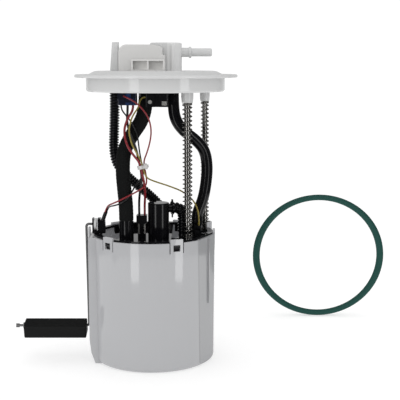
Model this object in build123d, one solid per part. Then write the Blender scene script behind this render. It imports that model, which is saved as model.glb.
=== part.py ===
from build123d import *
import math
import os

# A tank fuel pump module: a flange on two sprung guide rods stands over a reservoir
# that holds the pump, its filter, the pressure regulator and the level sender.
# Millimetres. The origin is the middle of the reservoir's base and +Z is up.
# The outlet spigot points along +X and the hood's two pockets face -Y.

# Reservoir
RIM_R = 61.5
BASE_R = RIM_R - 1.0
RIM_Z = 125.8
WALL = 2.0
FLOOR = 3.0
BASE_ROUND = 5.0
FACET_TURN = -25.2
FACET_FLAT = RIM_R - 2.8
RECESS_DEEP = 1.2
RECESS_IN = 14.0
RECESS_OUT = BASE_R - 10.5

# Raised rail on the left side of the reservoir, which faces the float arm
RAIL_X = -(RIM_R + 0.5)
RAIL_Y0 = -28.4
RAIL_Y1 = 9.0
RAIL_FOOT = 24.0
LUG_X = RAIL_X - 1.2
LUG_T = 1.8
LUG_Y0 = -14.0
LUG_Y1 = -6.0
LUG_Z0 = RIM_Z - 7.8
LUG_Z1 = RIM_Z + 7.7
LUG_ROUND = 2.5

# Snap tongues round the rim, evenly turned, counted from -Y
TONGUE_N = 5
TONGUE_FIRST = -42.4
TONGUE_STEP = 66.3
TONGUE_W = 12.7
TONGUE_TOP = RIM_Z + 3.5
TONGUE_SLOT = 1.0
TONGUE_ROOT = RIM_Z - 10.0
WINDOW_W = 7.0
WINDOW_Z0 = RIM_Z - 8.0
WINDOW_Z1 = RIM_Z - 1.8
HOOK_GAP = 0.3

# Carrier, the black frame that snaps into the rim
FIT_GAP = 0.3
SEAT_W = 2.0
SEAT_DEEP = 2.0
SEAT_SHARE = 0.66
RING_TOP = RIM_Z + 1.7
RING_T = 2.5
RING_W = 5.2
PLATE_TOP = RIM_Z - 4.3
PLATE_T = 4.0
BRIDGE_X0 = -34.0
BRIDGE_X1 = 18.0
ARM_X0 = 29.0
ARM_Y0 = -34.0
ARM_Y1 = 44.0

# Guide rods, their bushes and springs
ROD_R = (3.0, 2.5)
FRONT_ROD = (34.3, -15.0)
REAR_ROD_OUT = RIM_R - 3.53
REAR_ROD_TURN = math.radians(27.76)
REAR_ROD = (REAR_ROD_OUT * math.cos(REAR_ROD_TURN), REAR_ROD_OUT * math.sin(REAR_ROD_TURN))
RODS = (FRONT_ROD, REAR_ROD)
RUN_GAP = 0.05
BUSH_R = 5.0
BUSH_LIP_R = 5.6
BUSH_LIP_T = 1.5
BUSH_LONG = 8.0
BOSS_WALL = 2.4
CLIP_R = 4.3
CLIP_T = 1.0
CLIP_BITE = 0.6
CLIP_MOUTH = 4.0
ROD_TAIL = 3.0
TRAVEL = 45.0
COLUMN_RISE = 11.0
COLUMN_SPARE = 6.0
SPRING_R = (4.35, 3.75)
SPRING_WIRE = (1.15, 1.05)
SPRING_PITCH = (4.2, 4.05)

# Flange
FLANGE_X = 3.2
SKIRT_R = 67.4
SKIRT_WALL = 2.2
LIP_X = 0.6
LIP_R = SKIRT_R + 11.8
LIP_Z = 279.3
LIP_T = 3.0
SKIRT_FOOT = LIP_Z - 13.3
DOME_Z = LIP_Z + LIP_T + 3.4
DOME_FOOT_R = SKIRT_R - 1.9
DOME_FLAT_R = SKIRT_R - 8.4
DOME_FOOT_ROUND = 3.0
DOME_ROUND = 10.0
PLATE_UNDER = DOME_Z - 3.5
RIB_T = 1.8
RIB_DROP = 5.0
SOCKET_R = (5.85, 5.0)
SOCKET_FOOT = PLATE_UNDER - 26.7
SOCKET_TAPER = 5.0
ROD_TOP = PLATE_UNDER - 6.2

# Post, hood, tower and spigot on the flange
POST_X0 = -40.2
POST_X1 = -31.6
POST_Y = -6.0
POST_DEEP = 8.0
POST_TOP = DOME_Z + 27.3
POST_SHRINK = 2.2
HOOD_X0 = -30.3
HOOD_X1 = 11.0
HOOD_Y0 = -30.0
HOOD_Y1 = -2.0
HOOD_TOP = DOME_Z + 24.7
HOOD_ROUND = 7.5
HOOD_STEP_Z = HOOD_TOP - 9.6
HOOD_STEP_X = HOOD_X1 + 2.4
POCKET_FACE = -32.6
POCKET_X0 = -16.6
POCKET_W = 13.6
POCKET_BAR = 1.3
POCKET_Z0 = DOME_Z + 1.4
POCKET_H = 8.1
POCKET_DEEP = 9.0
POCKET_FRAME = 1.6
SHROUD_X = -18.0
SHROUD_W = 22.0
SHROUD_Z = DOME_Z + 12.3
SHROUD_H = 12.0
SHROUD_DEEP = 14.0
TOWER_X = 13.0
TOWER_Y = 10.0
TOWER_R = 15.6
TOWER_TOP = DOME_Z + 27.1
TOWER_RIB_X = TOWER_X + 7.6
TOWER_RIB_T = 3.0
TOWER_RIB_OUT = 2.0
SPIGOT_Z = DOME_Z + 17.8
SPIGOT_R = 3.95
SPIGOT_TIP = 58.3
SPIGOT_ROUND = 1.6
SPIGOT_ROOT_R = 4.5
SPIGOT_ROOT_X = 35.5
BEAD_R = 5.5
BEAD_W = 2.5
SPIGOT_BORE = 2.2

# Plugs under the flange
BLUE_X0 = -31.5
BLUE_X1 = -13.4
BLUE_FOOT = PLATE_UNDER - 28.6
BLACK_X0 = -4.8
BLACK_X1 = 16.1
BLACK_FOOT = PLATE_UNDER - 30.3
PLUG_Y0 = -31.0
PLUG_Y1 = -18.0
PIN_W = 1.6
PIN_T = 0.8
PIN_PITCH = 4.6
PIN_N = 4

# Hoses: outer radius, the barb's share of it, both ends and the way between them
HOSE_TOP_Z = PLATE_UNDER - 18.2
SLEEVE_R = 7.0
SLEEVE_TOP = (-6.0, -8.0)
SLEEVE_FOOT = (-24.4, -30.0)
SLEEVE_FOOT_Z = PLATE_TOP + 22.0
SLEEVE_WAY = [
    (*SLEEVE_TOP, 253.0), (-9.8, -9.0, 237.5), (-20.2, -12.0, 223.5), (-27.4, -15.5, 208.5),
    (-28.4, -20.0, 190.5), (-26.2, -26.0, 171.0), (*SLEEVE_FOOT, 156.0)]
CORR_R = 5.0
CORR_TOP = (-37.3, 5.0)
CORR_FOOT = (9.0, 22.0)
CORR_FOOT_Z = PLATE_TOP + 7.5
CORR_WAY = [
    (*CORR_TOP, 250.0), (-38.2, 5.2, 228.0), (-39.0, 5.6, 207.0), (-35.6, 8.0, 191.5),
    (-21.6, 13.0, 176.4), (-6.2, 17.4, 163.0), (5.6, 21.0, 151.0), (*CORR_FOOT, 139.0)]
SHOSE_R = 5.7
SHOSE_TOP = (20.3, 0.0)
SHOSE_FOOT = (43.3, 6.5)
SHOSE_FOOT_Z = PLATE_TOP + 11.5
SHOSE_WAY = [
    (*SHOSE_TOP, 252.0), (22.2, 0.2, 238.0), (30.6, 1.0, 226.6), (42.2, 3.2, 218.4),
    (51.2, 5.8, 208.0), (53.9, 7.0, 192.0), (52.6, 7.4, 174.5), (49.6, 7.2, 158.5),
    (44.6, 6.8, 147.0), (*SHOSE_FOOT, 138.6)]
JUMPER_R = 5.5
JUMPER_FOOT = (29.6, -3.0)
JUMPER_FOOT_Z = PLATE_TOP + 5.5
JUMPER_Z = PLATE_TOP + 30.3
JUMPER_STUB = 2.2
JUMPER_BEND = 8.0
BARB_SHARE = 0.78

# Pump, on its own upright axis
PUMP_X = 5.7
PUMP_Y = -10.0
CAN_R = 19.0
CAN_WALL = 1.0
CAN_Z0 = 24.0
CAN_Z1 = 106.0
INLET_Z = 18.0
END_CAP_Z = 114.0
NIPPLE_R = 4.0
NIPPLE_TOP = PLATE_TOP + 4.5
SHAFT_R = 1.5
ARMATURE_R = 12.5
ARMATURE_Z0 = 45.0
ARMATURE_Z1 = 84.0
COMM_R = 6.5
COMM_Z0 = 88.0
COMM_Z1 = 96.0
IMPELLER_R = 15.0
IMPELLER_T = 3.0
IMPELLER_GAP = 0.15
MAGNET_T = 3.4
MAGNET_ARC = 130.0
ISO_RING_Z0 = 99.0
ISO_RING_Z1 = 104.5
ISO_RING_T = 2.6
CRADLE_WALL = 2.2
CRADLE_FOOT = 98.0
ISO_BASE_Z0 = 16.0
ISO_BASE_T = 3.0

# Outlet tower over the pump
MAST_R = 10.4
MAST_TOP = PLATE_TOP + 34.8
MAST_CAP_TOP = MAST_TOP + 1.4
MAST_BORE = 6.0

# Strainer under the pump, foot valve, jet pump and regulator
STRAINER_R = 15.0
STRAINER_Z0 = 5.0
STRAINER_T = 6.5
VALVE_X = -30.0
VALVE_Y = 20.0
VALVE_R = 7.0
VALVE_STEM = 1.5
VALVE_HOLES = 6
VALVE_HOLE_R = 1.2
VALVE_HOLE_PCD = 9.0
JET_INSET = 28.5
JET_X = -(BASE_R - JET_INSET)
JET_Y = -22.0
JET_R = 4.0
JET_LONG = 30.0
JET_Z = 8.0
REG_X = -22.0
REG_Y = 24.0
REG_R = 9.5
REG_LIP_R = 11.0
REG_Z0 = 90.0
REG_Z1 = 113.0
BAFFLE_Z = RIM_Z - 17.8
BAFFLE_T = 2.0
BAFFLE_GAP = 2.4
BAFFLE_SLOT_W = 2.4

# Plug on the pump and the connector on the carrier
PPLUG_X0 = -15.7
PPLUG_X1 = -5.3
PPLUG_Y0 = -17.0
PPLUG_Y1 = -7.0
PPLUG_Z0 = PLATE_TOP + 16.1
PPLUG_Z1 = PPLUG_Z0 + 8.3
PPLUG_STEP = 1.2
RED_W = 7.6
RED_SHIFT = 0.85
RED_X = (JUMPER_FOOT[0] + JUMPER_R + 1 + RIM_R - WALL - FIT_GAP - RING_W) / 2 - RED_SHIFT
RED_X0 = RED_X - RED_W / 2
RED_X1 = RED_X + RED_W / 2
RED_Y0 = -8.0
RED_Y1 = -2.0
RED_TOP = PLATE_TOP + 12.5

# Level sender, its arm and the float
PIVOT_Y = -10.0
PIVOT_Z = RING_TOP + 8.9
WIRE_R = 1.2
CHEEK_TOP = PIVOT_Z + 6.1
CHEEK_OUT_X = -RIM_R + 2.2
CHEEK_OUT_T = 1.5
CHEEK_IN_X = CHEEK_OUT_X + 5.6
CHEEK_IN_T = 2.5
CHEEK_HALF = 3.4
SENDER_FOOT = RING_TOP + 3.5
SENDER_X1 = CHEEK_IN_X + CHEEK_IN_T + 4.4
HUB_R = 5.2
HUB_T = 2.4
WIPER_HALF = 3.0
WIPER_LOW = 4.2
WIPER_W = 1.0
CARD_T = 0.7
CARD_HALF = 5.6
BOOT_X = (SENDER_X1 - 3.05, SENDER_X1 - 1.7)
BOOT_Y = (PIVOT_Y - 1.7, PIVOT_Y + 1.7)
BOOT_R = 1.3
BOOT_Z0 = PIVOT_Z + 3.6
BOOT_LEAN = (3.1, 0.0, 8.2)
ARM_TOP_X = RAIL_X - 3.4
ARM_FOOT_X = RAIL_X - 2.3
ARM_FOOT_Z = 33.4
ARM_BEND = 2.6
FLOAT_X1 = ARM_FOOT_X - ARM_BEND
FLOAT_X0 = FLOAT_X1 - 61.7
ARM_TIP_X = FLOAT_X0 - 8.6
FLOAT_WIDE = 16.0
FLOAT_TALL = 14.0
FLOAT_TILT = 15.0
FLOAT_HANG = 2.8
FLOAT_HOLE_GAP = 0.08

# Wires, the way of each above and below the tie, and the tie that gathers them
THICK_R = 1.15
THIN_R = 0.75
RED_PUMP_HIGH = [
    (-17.1, -26.0, BLUE_FOOT), (-17.1, -26.0, 248.4), (-22.6, -25.2, 241.0), (-26.2, -25.8, 230.0),
    (-24.2, -28.0, 217.6), (-18.0, -28.4, 207.0)]
RED_PUMP_LOW = [(-7.0, -24.0, 178.0), (-6.8, -17.4, 166.0)]
BLACK_PUMP_HIGH = [
    (-22.6, -21.6, BLUE_FOOT), (-22.6, -21.6, 248.0), (-23.6, -22.0, 237.0), (-20.0, -22.6, 225.0),
    (-15.2, -23.0, 213.5)]
BLACK_PUMP_LOW = [(-9.8, -22.8, 178.5), (-12.2, -19.2, 167.0)]
RED_SENDER_HIGH = [
    (-25.6, PLUG_Y0, 262.4), (-25.6, PLUG_Y0 - 3.6, 262.4), (-22.6, -37.2, 261.4),
    (-14.6, -38.0, 257.4), (-7.4, -36.8, 250.6), (-1.6, -34.0, 241.4), (0.4, -30.2, 230.4),
    (-0.9, -26.4, 219.6), (-4.2, -23.8, 208.4)]
RED_SENDER_LOW = [
    (-4.6, -25.0, 180.6), (-5.6, -30.6, 176.4), (-12.4, -36.0, 172.6), (-21.0, -38.8, 168.4),
    (-30.2, -38.0, 163.6), (-37.0, -31.6, 160.0), (-42.4, -21.0, 156.6)]
BLACK_SENDER_HIGH = [
    (-28.6, -23.4, BLUE_FOOT), (-28.6, -23.4, 249.6), (-25.4, -18.8, 244.4), (-18.4, -18.4, 236.0),
    (-13.4, -19.4, 223.6), (-12.0, -20.4, 210.5)]
BLACK_SENDER_LOW = [
    (-9.4, -19.4, 183.4), (-14.6, -20.8, 178.4), (-17.6, -28.6, 173.0), (-22.0, -36.6, 165.4),
    (-30.2, -38.2, 160.2), (-36.6, -29.6, 157.4), (-41.0, -17.4, 155.0)]
YELLOW_HIGH = [
    (BLACK_X0, -25.0, 261.0), (BLACK_X0 - 3.6, -25.0, 261.0), (-10.8, -26.6, 257.4),
    (-11.8, -27.6, 251.4), (-17.6, -30.0, 243.6), (-20.4, -31.0, 234.0), (-21.0, -31.0, 227.4),
    (-18.4, -30.4, 216.4), (-13.4, -27.8, 207.0)]
YELLOW_LOW = [
    (-4.6, -27.2, 184.0), (1.0, -21.6, 180.6), (8.6, -16.4, 177.4), (18.6, -12.0, 173.4),
    (29.4, -7.4, 168.4), (39.4, -6.2, 160.4), (44.4, -5.2, 150.0)]
TIE = (-9.3, -24.0, 194.2)
TIE_LEAN = 12.0
TIE_HALF_X = 3.5
TIE_HALF_Y = 2.9
TIE_T = 0.9
TIE_H = 3.4
TIE_HEAD = 3.6

# Seal ring, which stands beside the module on its edge
SEAL_X = 184.0
SEAL_Y = 150.0
SEAL_ROUND = 3.5
SEAL_HALF_W = 76.0
SEAL_HALF_H = 71.5

LOW = (Align.CENTER, Align.CENTER, Align.MIN)


def post(r, z0, z1, x=0.0, y=0.0):
    return Pos(x, y, z0) * Cylinder(r, z1 - z0, align=LOW)


def cone(r0, r1, z0, z1, x=0.0, y=0.0):
    return Pos(x, y, z0) * Cone(r0, r1, z1 - z0, align=LOW)


def tube(r_out, r_in, z0, z1, x=0.0, y=0.0):
    return post(r_out, z0, z1, x, y) - post(r_in, z0 - 1, z1 + 1, x, y)


def block(x0, x1, y0, y1, z0, z1):
    middle = ((x0 + x1) / 2, (y0 + y1) / 2, (z0 + z1) / 2)
    return Pos(*middle) * Box(x1 - x0, y1 - y0, z1 - z0)


def rod_x(r, x0, x1, y, z):
    return Pos(x0, y, z) * (Rot(0, 90, 0) * Cylinder(r, x1 - x0, align=LOW))


def rod_y(r, y0, y1, x, z):
    return Pos(x, y0, z) * (Rot(-90, 0, 0) * Cylinder(r, y1 - y0, align=LOW))


def turned(points, x=0.0, y=0.0):
    profile = Plane.XZ * make_face(Polyline(*points, close=True))
    return Pos(x, y, 0) * revolve(profile, Axis.Z)


def spoke(turn, side, wide, z0, z1, r0, r1):
    return Rot(0, 0, turn) * block(side - wide / 2, side + wide / 2, -r1, -r0, z0, z1)


def wall_r(z):
    return BASE_R + (RIM_R - BASE_R) * z / RIM_Z


def tapered(grow, z0, z1):
    return cone(wall_r(z0) + grow, wall_r(z1) + grow, z0, z1)


def beyond_facet(flat):
    return Rot(0, 0, FACET_TURN) * block(flat, flat + 40, -60, 60, -10, RIM_Z + 40)


def tongue_turns():
    return [TONGUE_FIRST + TONGUE_STEP * k for k in range(TONGUE_N)]


def route(points, radius, name):
    """A round tube along straight runs joined by arcs as large as the runs allow."""
    points = [Vector(*p) for p in points]
    radii = []
    for a, b, c in zip(points, points[1:], points[2:]):
        turn = math.radians((b - a).get_angle(c - b))
        radii.append(0.45 * min((b - a).length, (c - b).length) / math.tan(turn / 2))
    path = FilletPolyline(*points, radius=radii)
    start = Plane(origin=path @ 0, z_dir=path % 0)
    solid = sweep(start * Circle(radius), path=path)
    share = solid.volume / (math.pi * radius**2 * path.length)
    print(f"{name}: length {path.length:.0f}, least bend {min(radii):.1f}, volume share {share:.4f}")
    return solid


def column_foot():
    """The rear rod's column is open below and longer than the rod's travel."""
    return PLATE_TOP - BUSH_LONG - CLIP_T - ROD_TAIL - TRAVEL - COLUMN_SPARE


def column_solid(grow=0.0, top=PLATE_TOP):
    return post(BUSH_R + BOSS_WALL + grow, column_foot(), top, *REAR_ROD)


def reservoir():
    body = tapered(0, 0, RIM_Z)
    body = fillet(body.edges().filter_by_position(Axis.Z, -0.01, 0.01), BASE_ROUND)
    body -= beyond_facet(FACET_FLAT)
    rail = Plane.XZ * make_face(Polyline(
        (RAIL_X + 12, 0), (RAIL_X + 5.5, 0), (RAIL_X + 1.6, RAIL_FOOT * 0.45), (RAIL_X, RAIL_FOOT),
        (RAIL_X, RIM_Z), (RAIL_X + 12, RIM_Z), close=True))
    body += Pos(0, RAIL_Y1, 0) * extrude(rail, RAIL_Y1 - RAIL_Y0)
    lug = block(LUG_X, LUG_X + LUG_T, LUG_Y0, LUG_Y1, LUG_Z0, LUG_Z1)
    body += fillet(lug.edges().filter_by(Axis.X), LUG_ROUND)
    body += column_solid()
    hollow = tapered(-WALL, FLOOR, RIM_Z + 1)
    hollow = fillet(hollow.edges().filter_by_position(Axis.Z, FLOOR - 0.01, FLOOR + 0.01), BASE_ROUND - WALL)
    hollow -= beyond_facet(FACET_FLAT - WALL)
    hollow -= column_solid()
    body -= hollow
    for turn in tongue_turns():
        tip = spoke(turn, 0, TONGUE_W, RIM_Z - 2, TONGUE_TOP, RIM_R - 15, RIM_R + 5)
        tip = fillet(tip.edges().filter_by(Axis.Z, reverse=True).group_by(Axis.Z)[-1], 0.6)
        body += tip & tube(RIM_R, RIM_R - WALL, RIM_Z - 2, TONGUE_TOP)
        for side in (-1, 1):
            edge = side * (TONGUE_W + TONGUE_SLOT) / 2
            body -= spoke(turn, edge, TONGUE_SLOT, TONGUE_ROOT, RIM_Z + 9, RIM_R - 8, RIM_R + 8)
        body -= spoke(turn, 0, WINDOW_W, WINDOW_Z0, WINDOW_Z1, RIM_R - 8, RIM_R + 8)
    for seat in ring_seats(0):
        body += seat & tapered(-WALL / 2, 50, RIM_Z)
    for turn in (-160, -70, -15, 45, 135):
        ledge = spoke(turn, 0, 2.4, 60, BAFFLE_Z - BAFFLE_T, RIM_R - WALL - 6, RIM_R - 1)
        body += ledge & tapered(-WALL / 2, 50, RIM_Z)
    for turn in (45, 135, 225, 315):
        reach = CAN_R + 1
        x = PUMP_X + reach * math.sin(math.radians(turn))
        y = PUMP_Y + reach * math.cos(math.radians(turn))
        body += post(2.2, FLOOR - 0.5, ISO_BASE_Z0, x, y)
    body += rear_cup()
    body -= post(BUSH_R, column_foot() - 1, PLATE_TOP + 1, *REAR_ROD)
    body -= post(BUSH_LIP_R + FIT_GAP, PLATE_TOP, RIM_Z + 1, *REAR_ROD)
    body -= tube(RECESS_OUT, RECESS_IN, -1, RECESS_DEEP)
    body -= post(VALVE_STEM, -1, FLOOR + 1, VALVE_X, VALVE_Y)
    for k in range(VALVE_HOLES):
        turn = math.radians(360 / VALVE_HOLES * k)
        x = VALVE_X + VALVE_HOLE_PCD / 2 * math.cos(turn)
        y = VALVE_Y + VALVE_HOLE_PCD / 2 * math.sin(turn)
        body -= post(VALVE_HOLE_R, -1, FLOOR + 1, x, y)
    return body


def ring_seats(grow):
    """Ribs on the wall, one after each tongue, on which the carrier's ring rests."""
    half = SEAT_W / 2 + grow
    inner = RIM_R - WALL - SEAT_DEEP - grow
    return [spoke(turn + TONGUE_STEP * SEAT_SHARE, 0, 2 * half, 60, RING_TOP - RING_T, inner, RIM_R - 1)
            for turn in tongue_turns()]


def rear_cup():
    """The half wall that rises behind the rear spring, on the side away from the middle."""
    out = math.degrees(math.atan2(REAR_ROD[1], REAR_ROD[0]))
    r_out = BUSH_R + BOSS_WALL
    wall = tube(r_out, BUSH_LIP_R + FIT_GAP, PLATE_TOP - 1, PLATE_TOP + COLUMN_RISE, *REAR_ROD)
    half = Pos(*REAR_ROD, 0) * (Rot(0, 0, out) * block(-1, 20, -20, 20, PLATE_TOP - 2, PLATE_TOP + 20))
    return wall & half


def carrier():
    r_out = RIM_R - WALL - FIT_GAP
    low = PLATE_TOP - PLATE_T
    body = tube(r_out, r_out - RING_W, RING_TOP - RING_T, RING_TOP)
    spans = block(BRIDGE_X0, BRIDGE_X1, -70, 70, low, RING_TOP)
    spans += block(ARM_X0, 70, ARM_Y0, ARM_Y1, low, RING_TOP)
    plate = post(r_out, low, PLATE_TOP) + tube(r_out, r_out - 2, low, RING_TOP)
    body += plate & spans
    for turn in tongue_turns():
        pad = spoke(turn, 0, WINDOW_W - 2 * HOOK_GAP, low, RING_TOP, r_out - 2, r_out)
        body += pad & post(r_out, low, RING_TOP)
        hook = Plane.YZ * make_face(Polyline(
            (-r_out + 0.5, WINDOW_Z0 + HOOK_GAP), (-r_out - 0.2, WINDOW_Z0 + HOOK_GAP),
            (-RIM_R + 0.4, WINDOW_Z1 - HOOK_GAP - 1.5), (-RIM_R + 0.4, WINDOW_Z1 - HOOK_GAP),
            (-r_out + 0.5, WINDOW_Z1 - HOOK_GAP), close=True))
        half = WINDOW_W / 2 - HOOK_GAP
        body += Rot(0, 0, turn) * (Pos(-half, 0, 0) * extrude(hook, 2 * half))
    body += post(BUSH_R + BOSS_WALL, PLATE_TOP - BUSH_LONG + 1, PLATE_TOP, *FRONT_ROD)
    iso_r = CAN_R + ISO_RING_T
    body += tube(iso_r + CRADLE_WALL, iso_r, CRADLE_FOOT, low + 1, PUMP_X, PUMP_Y)
    body += tube(REG_LIP_R + 1.8, REG_LIP_R, REG_Z1 - 4, low + 1, REG_X, REG_Y)
    body += post(JUMPER_R + 1, low, PLATE_TOP, *JUMPER_FOOT)
    body += barb(JUMPER_R, PLATE_TOP - 1, JUMPER_FOOT_Z, *JUMPER_FOOT)
    body += barb(CORR_R, PLATE_TOP - 1, CORR_FOOT_Z, *CORR_FOOT)
    body += barb(SHOSE_R, PLATE_TOP - 1, SHOSE_FOOT_Z, *SHOSE_FOOT)
    body -= post(BUSH_R, low - 20, PLATE_TOP + 1, *FRONT_ROD)
    body -= post(BUSH_R + BOSS_WALL + FIT_GAP, low - 1, RING_TOP + 1, *REAR_ROD)
    for seat in ring_seats(FIT_GAP):
        body -= seat
    body -= beyond_facet(FACET_FLAT - WALL - FIT_GAP)
    body -= post(NIPPLE_R + FIT_GAP, low - 1, PLATE_TOP + 1, PUMP_X, PUMP_Y)
    body -= block(PPLUG_X0 + 3, PPLUG_X1 - 2, PPLUG_Y0 + 3, PPLUG_Y1 - 3, low - 1, PLATE_TOP + 1)
    return body


def barb(hose_r, z0, z1, x, y):
    """A hose barb that rises from z0 to z1, or hangs from z1 to z0, with one ridge."""
    r = hose_r * BARB_SHARE
    middle = (z0 + z1) / 2
    return post(r, z0, z1, x, y) + cone(r + 0.35, r, middle, middle + 2, x, y)


def baffle():
    z0 = BAFFLE_Z - BAFFLE_T
    r = wall_r(z0) - WALL - BAFFLE_GAP
    body = post(r, z0, BAFFLE_Z)
    body -= beyond_facet(FACET_FLAT - WALL - BAFFLE_GAP)
    body -= post(CAN_R + ISO_RING_T + CRADLE_WALL + 0.5, z0 - 1, BAFFLE_Z + 1, PUMP_X, PUMP_Y)
    body -= post(REG_R + 0.5, z0 - 1, BAFFLE_Z + 1, REG_X, REG_Y)
    body -= post(CLIP_R + 1.2, z0 - 1, BAFFLE_Z + 1, *FRONT_ROD)
    body -= column_solid(0.5, BAFFLE_Z + 1)
    for share in (0.42, 0.56, 0.7):
        body -= block(0.21 * r, 0.53 * r, share * r, share * r + BAFFLE_SLOT_W, z0 - 1, BAFFLE_Z + 1)
    for share in (-0.4, -0.24, -0.08, 0.08):
        body -= block(-0.79 * r, -0.65 * r, share * r, share * r + BAFFLE_SLOT_W, z0 - 1, BAFFLE_Z + 1)
    return body


def rod_bushes():
    solids = []
    for r, (x, y) in zip(ROD_R, RODS):
        body = post(BUSH_R, PLATE_TOP + BUSH_LIP_T - BUSH_LONG, PLATE_TOP + BUSH_LIP_T, x, y)
        body += post(BUSH_LIP_R, PLATE_TOP, PLATE_TOP + BUSH_LIP_T, x, y)
        body -= post(r + RUN_GAP, PLATE_TOP - BUSH_LONG, PLATE_TOP + BUSH_LONG, x, y)
        solids.append(body)
    return solids


def clip_top():
    return PLATE_TOP + BUSH_LIP_T - BUSH_LONG - RUN_GAP


def guide_rods():
    solids = []
    for r, (x, y) in zip(ROD_R, RODS):
        body = post(r, clip_top() - CLIP_T - ROD_TAIL, ROD_TOP, x, y)
        body = chamfer(body.edges(), 0.5)
        body -= tube(r + 1, r - CLIP_BITE, clip_top() - CLIP_T, clip_top(), x, y)
        solids.append(body)
    return solids


def rod_clips():
    """Open retaining rings in the grooves near the rods' lower ends."""
    solids = []
    for r, (x, y) in zip(ROD_R, RODS):
        body = tube(CLIP_R, r - CLIP_BITE, clip_top() - CLIP_T, clip_top(), x, y)
        low = clip_top() - 2 * CLIP_T
        body -= block(x - CLIP_MOUTH / 2, x + CLIP_MOUTH / 2, y - CLIP_R - 1, y, low, clip_top() + 1)
        solids.append(body)
    return solids


def spring(k):
    """A spring's wire, square here, wound round rod number k from its bush to its socket."""
    wire = SPRING_WIRE[k]
    foot = PLATE_TOP + BUSH_LIP_T + wire / 2
    path = Helix(pitch=SPRING_PITCH[k], height=SOCKET_FOOT - foot - wire / 2, radius=SPRING_R[k])
    start = Plane(origin=path @ 0, z_dir=path % 0)
    return Pos(*RODS[k], foot) * sweep(start * Rectangle(wire, wire), path=path, is_frenet=True)


def flange_cover():
    lip_z1 = LIP_Z + LIP_T
    skirt_in = SKIRT_R - SKIRT_WALL
    body = turned([
        (0, PLATE_UNDER), (skirt_in, PLATE_UNDER), (skirt_in, SKIRT_FOOT + 1), (skirt_in + 0.6, SKIRT_FOOT),
        (SKIRT_R - 1.4, SKIRT_FOOT), (SKIRT_R, SKIRT_FOOT + 1.4), (SKIRT_R, LIP_Z + 1), (SKIRT_R + 3, lip_z1),
        (DOME_FOOT_R, lip_z1), (DOME_FLAT_R, DOME_Z), (0, DOME_Z)], FLANGE_X)
    body = fillet(ring_edge(body, DOME_Z), DOME_ROUND)
    body = fillet(ring_edge(body, lip_z1), DOME_FOOT_ROUND)
    body += turned([
        (SKIRT_R - 1, LIP_Z), (LIP_R - 0.8, LIP_Z), (LIP_R, LIP_Z + 0.8), (LIP_R, lip_z1 - 1),
        (LIP_R - 1, lip_z1), (SKIRT_R - 1, lip_z1)], FLANGE_X + LIP_X)
    body += tower()
    body += flange_post()
    for r, (x, y) in zip(SOCKET_R, RODS):
        body += cone(r - 0.5, r, SOCKET_FOOT, SOCKET_FOOT + SOCKET_TAPER, x, y)
        body += post(r, SOCKET_FOOT + SOCKET_TAPER, PLATE_UNDER + 1, x, y)
    body += barb(SLEEVE_R, HOSE_TOP_Z, PLATE_UNDER + 1, *SLEEVE_TOP)
    body += barb(CORR_R, HOSE_TOP_Z, PLATE_UNDER + 1, *CORR_TOP)
    body += barb(SHOSE_R, HOSE_TOP_Z, PLATE_UNDER + 1, *SHOSE_TOP)
    for turn in (110, 145, 180, 215, 250):
        rib = spoke(turn, 0, RIB_T, PLATE_UNDER - RIB_DROP, PLATE_UNDER + 1, 26, SKIRT_R - 1)
        body += Pos(FLANGE_X, 0, 0) * rib
    for r, (x, y) in zip(ROD_R, RODS):
        body -= post(r, SOCKET_FOOT - 1, ROD_TOP, x, y)
    body -= pins_all()
    return body


def ring_edge(body, z):
    """The smallest round edge that lies at height z."""
    level = body.edges().filter_by(GeomType.CIRCLE).filter_by_position(Axis.Z, z - 0.01, z + 0.01)
    return level.sort_by(SortBy.RADIUS)[0]


def tower():
    """The round outlet housing and the quick-connect spigot that leaves its side."""
    body = post(TOWER_R, DOME_Z - 1, TOWER_TOP, TOWER_X, TOWER_Y)
    body = fillet(body.edges().group_by(Axis.Z)[-1], 1.5)
    body += block(TOWER_RIB_X - TOWER_RIB_T / 2, TOWER_RIB_X + TOWER_RIB_T / 2,
                  TOWER_Y - TOWER_R - TOWER_RIB_OUT, TOWER_Y, DOME_Z - 1, TOWER_TOP - 2)
    body += rod_x(SPIGOT_ROOT_R, TOWER_X, SPIGOT_ROOT_X, TOWER_Y, SPIGOT_Z)
    body += rod_x(SPIGOT_R, TOWER_X, SPIGOT_TIP, TOWER_Y, SPIGOT_Z)
    bead = rod_x(BEAD_R, SPIGOT_ROOT_X, SPIGOT_ROOT_X + BEAD_W, TOWER_Y, SPIGOT_Z)
    body += fillet(bead.edges(), 0.8)
    body = fillet(body.edges().group_by(Axis.X)[-1], SPIGOT_ROUND)
    body -= rod_x(SPIGOT_BORE, TOWER_X + 4, SPIGOT_TIP + 1, TOWER_Y, SPIGOT_Z)
    return body


def flange_post():
    wide = POST_X1 - POST_X0
    foot = RectangleRounded(wide, POST_DEEP, 0.8)
    foot = Plane.XY.offset(DOME_Z - 1) * Pos(POST_X1 - wide / 2, POST_Y) * foot
    top = RectangleRounded(wide - POST_SHRINK, POST_DEEP - POST_SHRINK, 0.8)
    top = Plane.XY.offset(POST_TOP) * Pos(POST_X1 - (wide - POST_SHRINK) / 2, POST_Y) * top
    body = loft([foot.face(), top.face()])
    rib_x = POST_X1 - 1.5
    body += block(rib_x - 0.6, rib_x + 0.6, POST_Y - POST_DEEP / 2 - 0.8, POST_Y, DOME_Z - 0.5, POST_TOP - 4)
    return body


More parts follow.
